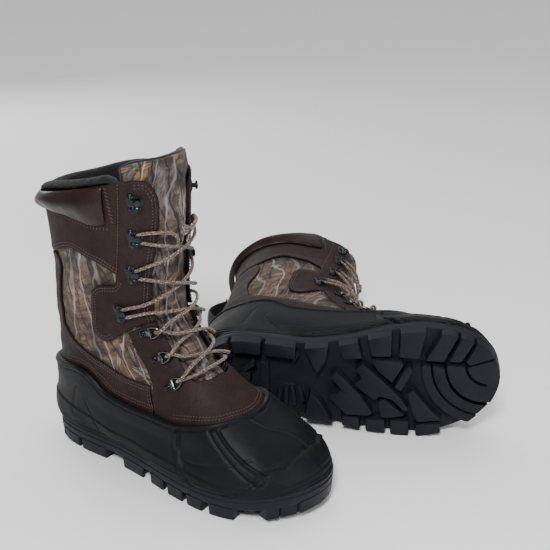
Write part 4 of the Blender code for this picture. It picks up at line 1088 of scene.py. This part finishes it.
def liner(side):
    shape = Shape()
    rise = np.concatenate([np.linspace(8.75, 1.0, 30), np.linspace(0.8, 0.05, 6)])
    outer = [(s, LINER_OUT - 0.2) for s in rise] + LINER_MOUTH
    inner = [(s, LINER_IN) for s in rise] + LINER_MOUTH_INNER
    across = np.linspace(0, 1, LINER_COLUMNS)
    skins = []
    for profile in (outer, inner):
        section, off = np.array(profile).T[:, :, None]
        gap = liner_gap(section)
        angle = gap + (360 - 2 * gap) * across[None, :]
        fade = np.sqrt(np.clip(np.minimum(across, 1 - across) / 0.035, 0, 1))[None, :]
        turn = np.radians(angle)
        wave = 0.3 * (1 - fade) + 0.055 * np.sin(turn * 2.5 + 0.6) + 0.035 * np.sin(turn * 5.3)
        flat = form(section + wave * smooth_step((0.5 - section) / 0.5), angle, off).reshape(-1, 3)
        normal = outward(section, angle).reshape(-1, 3)
        top = smooth_step((0.6 - np.repeat(section[:, 0], LINER_COLUMNS)) / 0.8)
        skins.append(flat + normal * (fuzz(flat, 5.0, 0.9) * (0.25 + top))[:, None])
    shape.add(np.vstack(skins), closed_grid(len(outer), LINER_COLUMNS, False))
    sections = np.concatenate([np.linspace(8.6, 13.6, 14), [14.0, 14.3]])
    angles = np.linspace(0, 360, SOCK_COLUMNS, endpoint=False)
    tubes = [form(sections[:, None], angles[None, :], off) for off in (LINER_OUT - 0.2, LINER_IN)]
    shape.add(np.vstack([t.reshape(-1, 3) for t in tubes]), closed_grid(len(sections), SOCK_COLUMNS, True))
    shape.add(tubes[1][-1], [tuple(range(SOCK_COLUMNS))])
    piece("liner", side, shape, [FLEECE])


def footbed(side):
    sections, angles = np.linspace(8.0, 13.2, 40), np.linspace(137, 223, 26)
    rows, cols = np.meshgrid(sections, angles, indexing="ij")
    edge = np.minimum(np.minimum(rows - 8.0, 13.2 - rows) * 9, (43 - np.abs(cols - 180)) / 3.5)
    dome = 0.8 * smooth_step(edge / 1.5)
    top = form(rows, cols, FOOTBED_OUT - 0.2 - 0.4 * (1 - smooth_step(edge)))
    low = form(rows, cols, FOOTBED_IN - dome)
    shape = Shape().add(np.vstack([top.reshape(-1, 3), low.reshape(-1, 3)]), closed_grid(40, 26, False))
    piece("footbed", side, shape, [FELT])


# ---------------------------------------------------------------- leather, fabric and their stitching
def half_and_mirror(runs, closing=mirrored):
    """Closed outline from the runs of its outer half, which ends on a centre line and may start on one."""
    half = np.vstack([smooth_run(run) for run in runs] + [runs[-1][-1:]])
    other = closing(half)[1:]
    return np.vstack([half, other[:-1] if np.allclose(other[-1], half[0]) else other])


CUFF_RUNS = [CUFF_TOP, CUFF_FRONT, CUFF_SEAM, CUFF_TAB, CUFF_LOWER]
FOXING_RUNS = [FOXING_UPPER, FOXING_FRONT, FOXING_LOWER]
VAMP_RUNS = [VAMP_THROAT, VAMP_TOP, VAMP_SIDE, VAMP_LOWER]
EYESTAY_LINE = [(0.03, 52), (1.0, 54), (2.0, 58), (2.6, 61)]
EYESTAY_STEP = 0.75                         # the eyestay lies this much above the cuff behind it


def cuff_relief(section, angle, depth):
    """The eyestay lies over the cuff, so the leather steps up in front of its stitched line."""
    line = np.interp(section, [s for s, _ in EYESTAY_LINE], [a for _, a in EYESTAY_LINE])
    over = smooth_step((line - folded(angle)) / 1.2 + 0.5) * window(section, -1, 2.5, 0.3)
    return EYESTAY_STEP * over * smooth_step(depth / 2.0)


def upper(side):
    fabric = half_and_mirror([FABRIC_EDGE], around_back)
    shape = panel(fabric, FABRIC_IN, FABRIC_OUT, step=2.2)
    piece("camo_quarters", side, shape, [CAMO])
    shape = panel(half_and_mirror(CUFF_RUNS, around_back), LEATHER_IN, LEATHER_OUT, relief=cuff_relief)
    piece("cuff", side, shape, [LEATHER])
    shape = panel(half_and_mirror(FOXING_RUNS, around_back), LEATHER_IN, LEATHER_OUT)
    piece("foxing", side, shape, [LEATHER])
    shape = panel(half_and_mirror(VAMP_RUNS), VAMP_IN, VAMP_OUT)
    piece("vamp", side, shape, [LEATHER])


def offset_run(run, distance):
    """The run moved sideways over the form, to the left of its direction as seen from outside."""
    s, a = np.vstack([smooth_run(run, 16), [run[-1]]]).T
    left = np.cross(outward(s, a), unit(np.gradient(form(s, a), axis=0))) * distance
    by_s = (form(s + 0.02, a) - form(s - 0.02, a)) / 0.04
    by_a = (form(s, a + 1) - form(s, a - 1)) / 2
    ss, sa, aa = (by_s * by_s).sum(1), (by_s * by_a).sum(1), (by_a * by_a).sum(1)
    ts, ta = (by_s * left).sum(1), (by_a * left).sum(1)
    det = ss * aa - sa * sa + 1e-9
    return np.column_stack([s + (ts * aa - ta * sa) / det, a + (ta * ss - ts * sa) / det])


STITCH_SIDES, STITCH_RINGS, THREAD_RADIUS = 6, 5, 0.42


def stitch_template(length):
    """One stitch along X, arched, its ends sunk into the leather."""
    rings = []
    for k in range(STITCH_RINGS):
        u = -1 + 2 * k / (STITCH_RINGS - 1)
        radius = THREAD_RADIUS * (1 - 0.55 * u ** 4)
        turns = np.radians(np.arange(STITCH_SIDES) * 360 / STITCH_SIDES)
        lift = -0.75 * THREAD_RADIUS * u * u
        rings.append(np.column_stack([np.full(STITCH_SIDES, u * length / 2), radius * np.cos(turns),
                                      lift + radius * 0.8 * np.sin(turns)]))
    return np.vstack(rings), tube_faces(STITCH_RINGS, STITCH_SIDES)


def sew(shape, points, off, pitch=3.0, length=2.2, slant=0.0):
    """A row of stitches along points (section, angle), on the surface at off."""
    travelled = travel(form(points[:, 0], points[:, 1]))
    count = int(travelled[-1] / pitch)
    if count < 2:
        return
    places = (np.arange(count) + 0.5) * travelled[-1] / count
    (s, a), (on_s, on_a) = ([np.interp(at, travelled, points[:, k]) for k in (0, 1)]
                            for at in (places, places + 0.5))
    here = form(s, a, off + sag(s, a) + 0.12)
    normal = outward(s, a)
    along = form(on_s, on_a) - form(s, a)
    along = unit(along - normal * (along * normal).sum(1, keepdims=True))
    across = np.cross(normal, along)
    c, w = math.cos(math.radians(slant)), math.sin(math.radians(slant))
    axes = np.stack([along * c + across * w, across * c - along * w, normal], 1)
    template, faces = stitch_template(length)
    cloud = here[:, None] + sum(template[None, :, k:k + 1] * axes[:, None, k] for k in range(3))
    shape.add(cloud, [tuple(v + k * len(template) for v in face) for k in range(count) for face in faces])


def both_halves(points):
    """The same row of points on the outer and on the inner half."""
    return points, points * (1, -1)


RAISED = LEATHER_OUT + EYESTAY_STEP
STITCH_ROWS = [                             # distances from the run, then the runs and their faces' heights
    ((-3.4, -6.2), [(CUFF_TOP[2:], RAISED), (CUFF_FRONT, RAISED)]),
    ((-2.0,), [(EYESTAY_LINE, RAISED)]),
    ((2.0,), [(EYESTAY_LINE, LEATHER_OUT)]),
    ((-2.6, -5.4), [(CUFF_TAB[1:-1], LEATHER_OUT), (CUFF_LOWER, LEATHER_OUT), (FOXING_UPPER[3:], LEATHER_OUT),
                    (VAMP_SIDE, VAMP_OUT), (VAMP_THROAT, VAMP_OUT)]),
    ((3.8, 6.8), [([(s, a) for s, a in SHELL_TOP if a <= 80], VAMP_OUT), (SHELL_TOP[2:8], LEATHER_OUT)])]
WHIP_FRONT = [(0.05, 64), (0.6, 62.5), (1.06, 60.5)]
WHIP_BELOW = [(1.17, 64), (1.06, 80), (0.77, 97), (0.6, 120), (0.55, 150), (0.55, 180)]


def stitching(side):
    shape = Shape()
    for distances, runs in STITCH_ROWS:
        for distance in distances:
            for run, off in runs:
                for half in both_halves(offset_run(run, distance)):
                    sew(shape, half, off)
    for half in both_halves(smooth_run(WHIP_FRONT, 12)):
        sew(shape, half, LEATHER_OUT, pitch=3.2, length=4.2, slant=52)
    for half in both_halves(smooth_run(WHIP_BELOW, 16)):
        sew(shape, half, LEATHER_OUT, pitch=3.4, length=3.2, slant=88)
    piece("stitching", side, shape, [THREAD], in_cad=False)


# ---------------------------------------------------------------- padded pieces
SIM_FRAMES = 20
COLLAR_ROWS, COLLAR_COLS = 20, 150
TONGUE_ROWS, TONGUE_COLS = 120, 46
PIPING_RADIUS, SHAFT_CENTRE = 1.55, (85.0, 0.0)


def inflate(base, rows, cols, force, reach, soften):
    """Blow a closed skin of two grids up as cloth with its held points fixed: points, faces and flat places.

    No point moves further than the reach, and the movement is evened out over neighbouring points.
    """
    points, faces, held, flat = base
    mesh = bpy.data.meshes.new("pad_cloth")
    mesh.from_pydata((points * MM).tolist(), [], faces)
    item = added("pad_cloth", mesh)
    group = item.vertex_groups.new(name="held")
    group.add([int(v) for v in held], 1.0, "REPLACE")
    cloth = item.modifiers.new("cloth", "CLOTH")
    settings = cloth.settings
    settings.vertex_group_mass = "held"
    settings.use_pressure = True
    settings.uniform_pressure_force = force
    settings.effector_weights.gravity = 0.0
    settings.quality = 6
    settings.mass = 0.2
    settings.tension_stiffness = 12
    settings.compression_stiffness = 12
    settings.bending_stiffness = 3.0
    settings.shrink_min = -0.02
    cloth.point_cache.frame_start, cloth.point_cache.frame_end = 1, SIM_FRAMES
    scene = bpy.context.scene
    for number in range(1, SIM_FRAMES + 1):
        scene.frame_set(number)
    shown = item.evaluated_get(bpy.context.evaluated_depsgraph_get())
    moved = np.zeros(len(points) * 3)
    shown.data.vertices.foreach_get("co", moved)
    moved = moved.reshape(-1, 3) / MM - points
    bpy.data.objects.remove(item)
    scene.frame_set(1)
    size = np.linalg.norm(moved, axis=1, keepdims=True)
    moved = moved * np.minimum(1.0, reach / (size + 1e-9))
    grids = moved.reshape(2, rows, cols, 3)
    for _ in range(soften):
        grids[:, 1:-1, 1:-1] = (grids[:, 1:-1, 1:-1] * 2 + grids[:, :-2, 1:-1] + grids[:, 2:, 1:-1]
                                + grids[:, 1:-1, :-2] + grids[:, 1:-1, 2:]) / 6
    return points + grids.reshape(-1, 3), faces, flat


def skin(sections, angle, outer_off, inner_off, tail=1):
    """Closed skin of two grids: points, faces, held points and flat places.

    The inner grid is held, and so is the rim of the outer one, with tail rows at its end.
    """
    rows, cols = sections.shape
    size = rows * cols
    grids = [form(sections, angle, off).reshape(-1, 3) for off in (outer_off, inner_off)]
    held = list(range(size, 2 * size))
    held += [k for k in range(size) if k < cols or k >= size - tail * cols or k % cols in (0, cols - 1)]
    flat = unrolled(sections, angle).reshape(-1, 3)
    return np.vstack(grids), closed_grid(rows, cols, False), held, np.vstack([flat, flat])


def collar_base():
    """Collar pad before it is stuffed."""
    angles = np.linspace(65.5, 294.5, COLLAR_COLS)
    side = folded(angles)
    lower = np.interp(side, [64, 80, 97, 120, 180], [1.12, 1.0, 0.7, 0.54, 0.48])
    down = np.linspace(0, 1, COLLAR_ROWS)
    near = np.clip((side - 65.0) / 15.0, 0, 1)
    ends = np.sqrt(1 - (1 - near) ** 2)
    top = -0.02 + 0.10 * (1 - ends)
    lower = lower - 0.16 * (1 - ends)
    sections = top[None, :] + (lower - top)[None, :] * down[:, None]
    angle = angles[None, :] + 0 * sections
    crown = np.sin(np.pi * down ** 0.9)[:, None] ** 0.75 * ends[None, :] ** 0.8
    return skin(sections, angle, PAD_IN + 0.5 + PAD_CROWN * crown, PAD_IN - 0.2)


def tongue_base():
    """Tongue before it is stuffed."""
    fan = np.linspace(-1, 1, TONGUE_COLS)
    down = np.linspace(0, 1, TONGUE_ROWS)[:, None]
    top = -0.52 + 0.17 * np.abs(fan) ** 9 + 0.045 * np.sin(fan * 3 + 0.6)
    sections = top[None, :] + (THROAT - top[None, :]) * down
    angle = tongue_half_angle(sections) * fan[None, :]
    middle = np.clip(1 - (np.abs(angle) / 24.0) ** 4, 0, 1) * np.clip((THROAT - sections) / 1.5, 0, 1)
    lip = window(sections, -2, -0.1, 0.5) * np.clip(1 - np.abs(fan) ** 6, 0, 1)[None, :] * 2.2
    return skin(sections, angle, -5.2 + 3.2 * middle + lip, -9.6, tail=2)


COLLAR = inflate(collar_base(), COLLAR_ROWS, COLLAR_COLS, 4.0, 2.0, 12)
TONGUE = inflate(tongue_base(), TONGUE_ROWS, TONGUE_COLS, 2.0, 1.6, 6)


def collar_pad(side):
    points, faces, flat = COLLAR
    shape = Shape().add(points, faces, cloth=flat, edge=np.full(len(points), 5.0))
    item = piece("collar_pad", side, shape, [PAD_LEATHER])
    item.modifiers.new("fine", "SUBSURF").levels = 1
    item.modifiers["fine"].render_levels = 1


def tube(path, radius, sides=8):
    """Points and faces of a round tube along a path, without twist."""
    path = np.asarray(path, float)
    along = unit(np.gradient(path, axis=0))
    normal = np.cross(along[0], [0.31, 0.17, 0.93])
    rings = []
    for k, here in enumerate(path):
        normal = normal - along[k] * np.dot(normal, along[k])
        normal /= np.linalg.norm(normal)
        across = np.cross(along[k], normal)
        turns = np.arange(sides) * 2 * math.pi / sides
        rings.append(here + radius * (np.cos(turns)[:, None] * normal + np.sin(turns)[:, None] * across))
    return np.vstack(rings), tube_faces(len(path), sides)


def tongue(side):
    """The stuffed tongue, pressed in under the lace and swollen between its turns."""
    points, faces, flat = TONGUE
    size = TONGUE_ROWS * TONGUE_COLS
    outer, inner = (half.reshape(TONGUE_ROWS, TONGUE_COLS, 3) for half in (points[:size], points[size:]))
    clear = nearest(points[:size], ROUTE).reshape(TONGUE_ROWS, TONGUE_COLS)
    height = smooth_step((clear - 4.0) / 8.0) * 2.0 - 0.6 * (1 - smooth_step((clear - 2.0) / 3.0))
    middle = np.clip(1 - (np.abs(np.linspace(-1, 1, TONGUE_COLS)) / 0.62) ** 4, 0, 1)
    out = unit(np.cross(np.gradient(outer, axis=1), np.gradient(outer, axis=0)))
    facing = np.sign(((outer[..., :2] - SHAFT_CENTRE) * out[..., :2]).sum(-1).mean())
    row = np.arange(TONGUE_ROWS)[:, None]
    fades = np.clip(row / 6.0, 0, 1) * np.clip((TONGUE_ROWS - 1 - row) / 8.0, 0, 1)
    outer = outer + out * facing * (height * middle[None, :] * fades)[..., None]
    shape = Shape().add(np.vstack([outer.reshape(-1, 3), points[size:]]), faces, cloth=flat)
    rim = (outer + inner) / 2
    shape.add(*tube(np.vstack([rim[60:0:-1, 0], rim[0], rim[1:61, -1]]), PIPING_RADIUS), mark=1)
    piece("tongue", side, shape, [CAMO_TONGUE, PIPING], body=side + "_tongue")


# ---------------------------------------------------------------- lace route
def clip_height():
    return CLIP_THICK + CLIP_INNER


def local_points(place, points):
    return [np.array(place @ Vector(p)) for p in points]


def hook_turn(k, sign):
    """Lace points round a hook's neck, entered from below."""
    place = surface_matrix(HOOKS[k][0], sign * HOOKS[k][1], HOOK_SEAT)
    turn = [(NECK_X + 1.0, 4.4), (NECK_X - 2.9, 2.9), (NECK_X - 2.9, -2.9), (NECK_X + 1.0, -4.4)]
    return local_points(place, [(x, sign * y, LACE_IN_HOOK) for x, y in turn[::-1]])


def ring_turn(k, sign):
    """Lace points through a D-ring: in underneath, up through the hole, out on top."""
    place = surface_matrix(RINGS[k][0], sign * RINGS[k][1], CLIP_SEAT)
    tilt = math.radians(RING_TILT)
    wire_z, wire_x = clip_height() + RING_REACH * math.sin(tilt), RING_REACH * math.cos(tilt)
    reach = RING_WIRE + LACE_RADIUS + 0.4
    turn = [(wire_x + 2.5, -reach), (wire_x - 0.5, -reach), (wire_x - reach, -reach * 0.4),
            (wire_x - reach, reach * 0.6), (wire_x - 0.3, reach + 0.5), (wire_x + 2.5, reach + 0.3)]
    return local_points(place, [(x, 0, wire_z + z) for x, z in turn])


def across(start, end, sign, heights):
    """Lace points over the tongue from one stop (section, angle) to the next one on the other side."""
    stops = [(0.3, 21), (0.5, 0), (0.7, -21)]
    if start[1] > FAR_STOP:
        stops.insert(0, (0.13, 41))
    if end[1] > FAR_STOP:
        stops.append((0.87, -41))
    points = []
    for share, angle in stops:
        section = start[0] + (end[0] - start[0]) * share
        points.append(form(section, sign * angle, heights["side" if angle else "middle"]))
    return points


def lace_half(sign, heights):
    """Route of one half of the lace from the lowest ring up to the second hook and its tucked end."""
    stops = [("ring", 2), ("ring", 1), ("ring", 0), ("hook", 3), ("hook", 2), ("hook", 1)]
    points = []
    for n, (kind, k) in enumerate(stops):
        here = RINGS[k] if kind == "ring" else HOOKS[k]
        points += ring_turn(k, sign) if kind == "ring" else hook_turn(k, sign)
        if n + 1 < len(stops):
            kind, k = stops[n + 1]
            points += across(here, RINGS[k] if kind == "ring" else HOOKS[k], sign, heights)
            sign = -sign
    tail = ((1.42, 27), (1.5, 12), (1.72, 3), (2.0, 5))
    return points + [form(s, sign * a, heights["end"]) for s, a in tail]


def rounded_route(points, rounds=3):
    """Corner cutting, so that the cord bends evenly round its guides."""
    points = np.array(points)
    for _ in range(rounds):
        before, after = points[:-1], points[1:]
        cut = np.stack([before * 0.75 + after * 0.25, before * 0.25 + after * 0.75], 1).reshape(-1, 3)
        points = np.vstack([points[:1], cut, points[-1:]])
    return points


def even_steps(points, step):
    travelled = travel(points)
    places = np.linspace(0, travelled[-1], int(travelled[-1] / step))
    return np.column_stack([np.interp(places, travelled, points[:, k]) for k in range(3)])


def lace_route():
    middle = [form(RINGS[2][0] + 0.12, a, LACE_UNDER["side"]) for a in (24, 8, -8, -24)]
    return even_steps(rounded_route(lace_half(1, LACE_OVER)[::-1] + middle + lace_half(-1, LACE_UNDER)), 1.3)


ROUTE = lace_route()
LACE_SIDES = 14


def braided(path, start=0.0):
    """Cord with its braid as relief: points, faces and the (length, turn) of each point."""
    points, faces = tube(path, 1.0, LACE_SIDES)
    rings = points.reshape(-1, LACE_SIDES, 3)
    length = start + travel(path)
    turn = np.arange(LACE_SIDES) * 2 * math.pi / LACE_SIDES
    along = length[:, None] * 2 * math.pi / 5.2
    relief = np.maximum(np.cos(along + 2 * turn[None, :]), np.cos(along - 2 * turn[None, :]))
    radius = LACE_RADIUS + 0.05 + 0.16 * relief
    centre = rings.mean(axis=1, keepdims=True)
    rings = centre + (rings - centre) * radius[..., None]
    cloth = np.stack(np.broadcast_arrays(length[:, None], turn[None, :] * LACE_RADIUS, 0.0), -1)
    return rings.reshape(-1, 3), faces, cloth.reshape(-1, 3)


def knot_path():
    """Half knot where the two ends are tucked, lying on the crossed laces."""
    place = surface_matrix(1.5, 0.001, 9.6)
    turns = np.linspace(0, 2 * math.pi, 60)
    reach = 2.6 + 1.2 * np.cos(3 * turns)
    loop = np.column_stack([reach * np.cos(2 * turns) * 1.25, reach * np.sin(2 * turns),
                            0.9 * np.sin(3 * turns)])
    return even_steps(np.array(local_points(place, loop)), 1.0)


def lace(side):
    shape = Shape()
    for points, faces, cloth in (braided(ROUTE), braided(knot_path(), 40.0)):
        shape.add(points, faces, cloth=cloth)
    piece("lace", side, shape, [LACE], sharp=60)


# ---------------------------------------------------------------- hardware
def turned(profile, sides):
    """Solid of revolution about Z from (radius, height) pairs, the first and last on the axis."""
    turns = np.arange(sides) * 2 * math.pi / sides
    rings = [np.column_stack([r * np.cos(turns), r * np.sin(turns), np.full(sides, z)])
             for r, z in profile[1:-1]]
    points = np.vstack([[(0, 0, profile[0][1])]] + rings + [[(0, 0, profile[-1][1])]])
    faces = [(0, 1 + k, 1 + (k + 1) % sides) for k in range(sides)]
    faces += [tuple(v + 1 for v in face) for face in grid_faces(len(rings), sides, True)]
    last = len(points) - 1
    faces += [(last, last - sides + (k + 1) % sides, last - sides + k) for k in range(sides)]
    return points, faces


RIVET = [(0, 0.55), (3.25, 0.55), (3.3, 0.9), (3.2, 1.25), (2.85, 1.5), (2.3, 1.62), (2.15, 1.5), (1.95, 1.5),
         (1.8, 1.72), (1.2, 2.1), (0.6, 2.3), (0, 2.36)]
CLIP_RIVET = [(0, 0.5), (3.0, 0.5), (3.05, 0.85), (2.8, 1.3), (2.1, 1.65), (1.75, 1.62), (1.6, 1.25),
              (1.25, 1.15), (1.0, 1.5), (0.6, 1.95), (0, 2.1)]
HOOK_LIP = [(0, 5.0), (4.4, 5.0), (4.95, 5.25), (5.15, 5.75), (4.9, 6.25), (4.35, 6.4), (3.7, 6.0),
            (2.2, 5.72), (0, 5.65)]


HOOK_RIVET_Y = 5.5


def rounded_prism(outline, low, high, soft):
    """Plate with softened edges."""
    rings = []
    for distance, z in ((soft, low), (0.0, low + soft), (0.0, high - soft), (soft * 0.3, high - soft * 0.3),
                        (soft, high)):
        rings.append(np.column_stack([inset(outline, distance), np.full(len(outline), z)]))
    return np.vstack(rings), tube_faces(len(rings), len(outline))


STRIP_EDGE = 0.2


def bent_strip(path, thick, half_width):
    """Metal strip along a path in XZ with softened edges."""
    path = np.asarray(path, float)
    along = np.gradient(path, axis=0)
    along /= np.linalg.norm(along, axis=1, keepdims=True)
    normal = np.column_stack([-along[:, 1], along[:, 0]])
    outline = [(0, 1), (1, 0), (3, 0), (4, 1), (4, 3), (3, 4), (1, 4), (0, 3)]
    stops = [[-size, -size + STRIP_EDGE, 0, size - STRIP_EDGE, size] for size in (half_width, thick / 2)]
    outline = [(stops[0][y], stops[1][z]) for y, z in outline]
    points = [(p[0] + n[0] * z, y, p[1] + n[1] * z) for p, n in zip(path, normal) for y, z in outline]
    return np.array(points), tube_faces(len(path), len(outline))


def hook_outline():
    outline = []
    for x, y, radius, first, last, count in (
            (0, -HOOK_RIVET_Y, 4.2, 150, 300, 14), (NECK_X + 0.6, -1.6, 1.8, 300, 360, 5),
            (NECK_X + 0.6, 1.6, 1.8, 0, 60, 5), (0, HOOK_RIVET_Y, 4.2, 60, 210, 14)):
        for turn in np.radians(np.linspace(first, last, count)):
            outline.append((x + radius * math.cos(turn), y + radius * math.sin(turn)))
    return resample(outline, 0.9)


def hook_parts():
    """Points and faces of every part of a hook, in the hook's own frame."""
    plate = rounded_prism(hook_outline(), 0.0, 1.0, 0.28)
    neck_path = rounded_route(np.array([(NECK_X, 0, 0.5), (NECK_X, 0, 4.6), (NECK_X - 0.9, 0, 5.35),
                                        (NECK_X - 3.0, 0, 5.45)]), 2)[:, [0, 2]]
    neck = bent_strip(neck_path, 1.1, 2.2)
    lip, lip_faces = turned(HOOK_LIP, 36)
    lip = lip * (0.84, 0.84, 1.0) + (NECK_X - 2.4, 0, 0)
    rivet, rivet_faces = turned(RIVET, 26)
    rivets = [(rivet + (0, y, 0), rivet_faces) for y in (-HOOK_RIVET_Y, HOOK_RIVET_Y)]
    return [plate, neck, (lip, lip_faces)] + rivets


def ring_points():
    turns = np.radians(np.linspace(-90, 90, 30))
    path = [(RING_REACH * math.cos(t), RING_HALF_WIDTH * math.sin(t)) for t in turns]
    path = np.array(path + [(0.0, y) for y in (4.4, 3.0, 1.5, 0.0, -1.5, -3.0, -4.4)])
    sides, rings = 12, []
    for k in range(len(path)):
        along = path[(k + 1) % len(path)] - path[k - 1]
        along /= np.linalg.norm(along)
        out = np.array([along[1], -along[0], 0])
        turn = np.arange(sides) * 2 * math.pi / sides
        rings.append(np.array([*path[k], 0]) + RING_WIRE * (np.cos(turn)[:, None] * out
                                                             + np.sin(turn)[:, None] * np.array([0, 0, 1.0])))
    return np.vstack(rings), tube_faces(len(path), sides, True)


def clip_parts():
    roll, centre = CLIP_INNER + CLIP_THICK / 2, clip_height()
    path = [(-RIVET_BEHIND - 3.0, CLIP_THICK / 2), (-RIVET_BEHIND, CLIP_THICK / 2), (-3.0, CLIP_THICK / 2)]
    path += [(roll * math.cos(t), centre + roll * math.sin(t)) for t in np.radians(np.linspace(-90, 190, 26))]
    strip = bent_strip(path, CLIP_THICK, CLIP_WIDTH / 2)
    rivet, faces = turned(CLIP_RIVET, 24)
    stem, stem_faces = turned([(0, -4.4), (1.3, -4.4), (1.3, 0.8), (0, 0.8)], 12)
    return [(*strip, 0), (rivet - (RIVET_BEHIND, 0, 0), faces, 1),
            (stem - (RIVET_BEHIND, 0, 0), stem_faces, 1)]


def moved(place, points):
    table = np.array(place)
    return np.asarray(points) @ table[:3, :3].T + table[:3, 3]


def hardware(side):
    lift = Matrix.Translation((0, 0, clip_height())) @ Matrix.Rotation(-math.radians(RING_TILT), 4, "Y")
    for face, sign in (("outer", 1), ("inner", -1)):
        for k, (section, angle) in enumerate(HOOKS):
            place = surface_matrix(section, sign * angle, HOOK_SEAT)
            shape = Shape()
            for points, faces in hook_parts():
                shape.add(moved(place, points), faces)
            piece(f"hook_{face}_{k + 1}", side, shape, [GUNMETAL])
        strip = Shape()
        for k, (section, angle) in enumerate(RINGS):
            seat = surface_matrix(section, sign * angle, CLIP_SEAT)
            for points, faces, mark in clip_parts():
                strip.add(moved(seat, points), faces, mark)
            points, faces = ring_points()
            name = f"d_ring_{face}_{k + 1}"
            shape = Shape().add(moved(seat @ lift, points), faces)
            piece(name, side, shape, [BRIGHT], body=f"{side}_{name}")
        sections = np.linspace(RINGS[0][0] - 0.25, RINGS[-1][0] + 0.2, 40)
        middle = np.interp(sections, [s for s, _ in RINGS], [a + 8.2 for _, a in RINGS])
        edges = sign * (middle[:, None] + np.linspace(-4.0, 4.0, 6)[None, :])
        tapes = [form(sections[:, None], edges, TAPE_MIDDLE + off) for off in (0.25, -0.25)]
        strip.add(np.vstack([t.reshape(-1, 3) for t in tapes]), closed_grid(40, 6, False), 2)
        piece("eyelet_strip_" + face, side, strip, [BRIGHT, GUNMETAL, FELT])


def pull_loop(side):
    rows, cols = 60, 14
    heights = np.linspace(0, 1, rows)
    sections = PULL_LOOP_ENDS[0] + (PULL_LOOP_ENDS[1] - PULL_LOOP_ENDS[0]) * heights
    arch = np.clip(np.sin(np.pi * np.clip((heights - 0.12) / 0.76, 0, 1)), 0, 1) ** 0.8
    angles = np.linspace(180 - 13, 180 + 13, cols)
    edge = np.linspace(-1, 1, cols)
    bound = 0.25 * window(np.abs(edge), 0.72, 2, 0.12)
    skins = []
    for extra, sign in ((2.0, 1), (0.0, -1)):
        off = LEATHER_OUT + 0.7 + extra + sign * (bound - 0.6 * np.abs(edge) ** 12)[None, :]
        grid = form(sections[:, None], angles[None, :], off + 0 * sections[:, None])
        grid[..., 0] -= (PULL_LOOP_BULGE[side] * arch)[:, None]
        skins.append(grid.reshape(-1, 3))
    flat = np.stack(np.meshgrid(heights * 46, edge * 11, indexing="ij") + [np.zeros((rows, cols))], -1)
    flat = flat[..., [1, 0, 2]].reshape(-1, 3)
    shape = Shape().add(np.vstack(skins), closed_grid(rows, cols, False), cloth=np.vstack([flat, flat]))
    piece("pull_loop", side, shape, [WEBBING])


# ---------------------------------------------------------------- putting it together
for boot in SIDES:
    rubber_shell(boot)
    outsole(boot)
    liner(boot)
    footbed(boot)
    upper(boot)
    stitching(boot)
    collar_pad(boot)
    tongue(boot)
    pull_loop(boot)
    hardware(boot)
    lace(boot)
    for node, material in (("_insole_board", BOARD), ("_shank", STEEL)):
        item = bpy.data.objects[boot + node]
        item.data.materials.clear()
        item.data.materials.append(material)


# ---------------------------------------------------------------- floor and light
def floor():
    mesh = bpy.data.meshes.new("floor")
    mesh.from_pydata([(-15, -15, 0), (15, -15, 0), (15, 15, 0), (-15, 15, 0)], [], [(0, 1, 2, 3)])
    g = Graph("floor")
    g.set(Base_Color=(0.92, 0.92, 0.92, 1), Roughness=0.6, Specular_IOR_Level=0.2)
    mesh.materials.append(g.material)
    item = added("floor", mesh)
    item.location.z = cad_box[0][2] - 0.0004


def light(name, kind, toward, power, **settings):
    """A light that shines from the direction stated."""
    data = bpy.data.lights.new(name, kind)
    data.energy = power
    for key, value in settings.items():
        setattr(data, key, value)
    item = added(name, data)
    item.rotation_euler = Vector(toward).to_track_quat("Z", "Y").to_euler()
    return item


def lamp(name, place, aim, size, power):
    light(name, "AREA", Vector(place) - Vector(aim), power, shape="DISK", size=size).location = place


floor()
lamp("key", (-0.3, -1.8, 1.8), (0, 0, 0.1), 0.55, 62)
lamp("fill", (1.7, -1.3, 0.9), (0, 0, 0.1), 0.8, 14)
light("sky", "SUN", (0.15, 0.55, 1.0), 1.15, angle=math.radians(60))
lamp("rim", (-1.1, 1.7, 1.0), (0, 0, 0.15), 1.0, 14)
world = bpy.data.worlds.new("world")
bpy.context.scene.world = world
world.use_nodes = True
background = world.node_tree.nodes["Background"]
background.inputs["Color"].default_value = (1, 1, 1, 1)
background.inputs["Strength"].default_value = 0.4
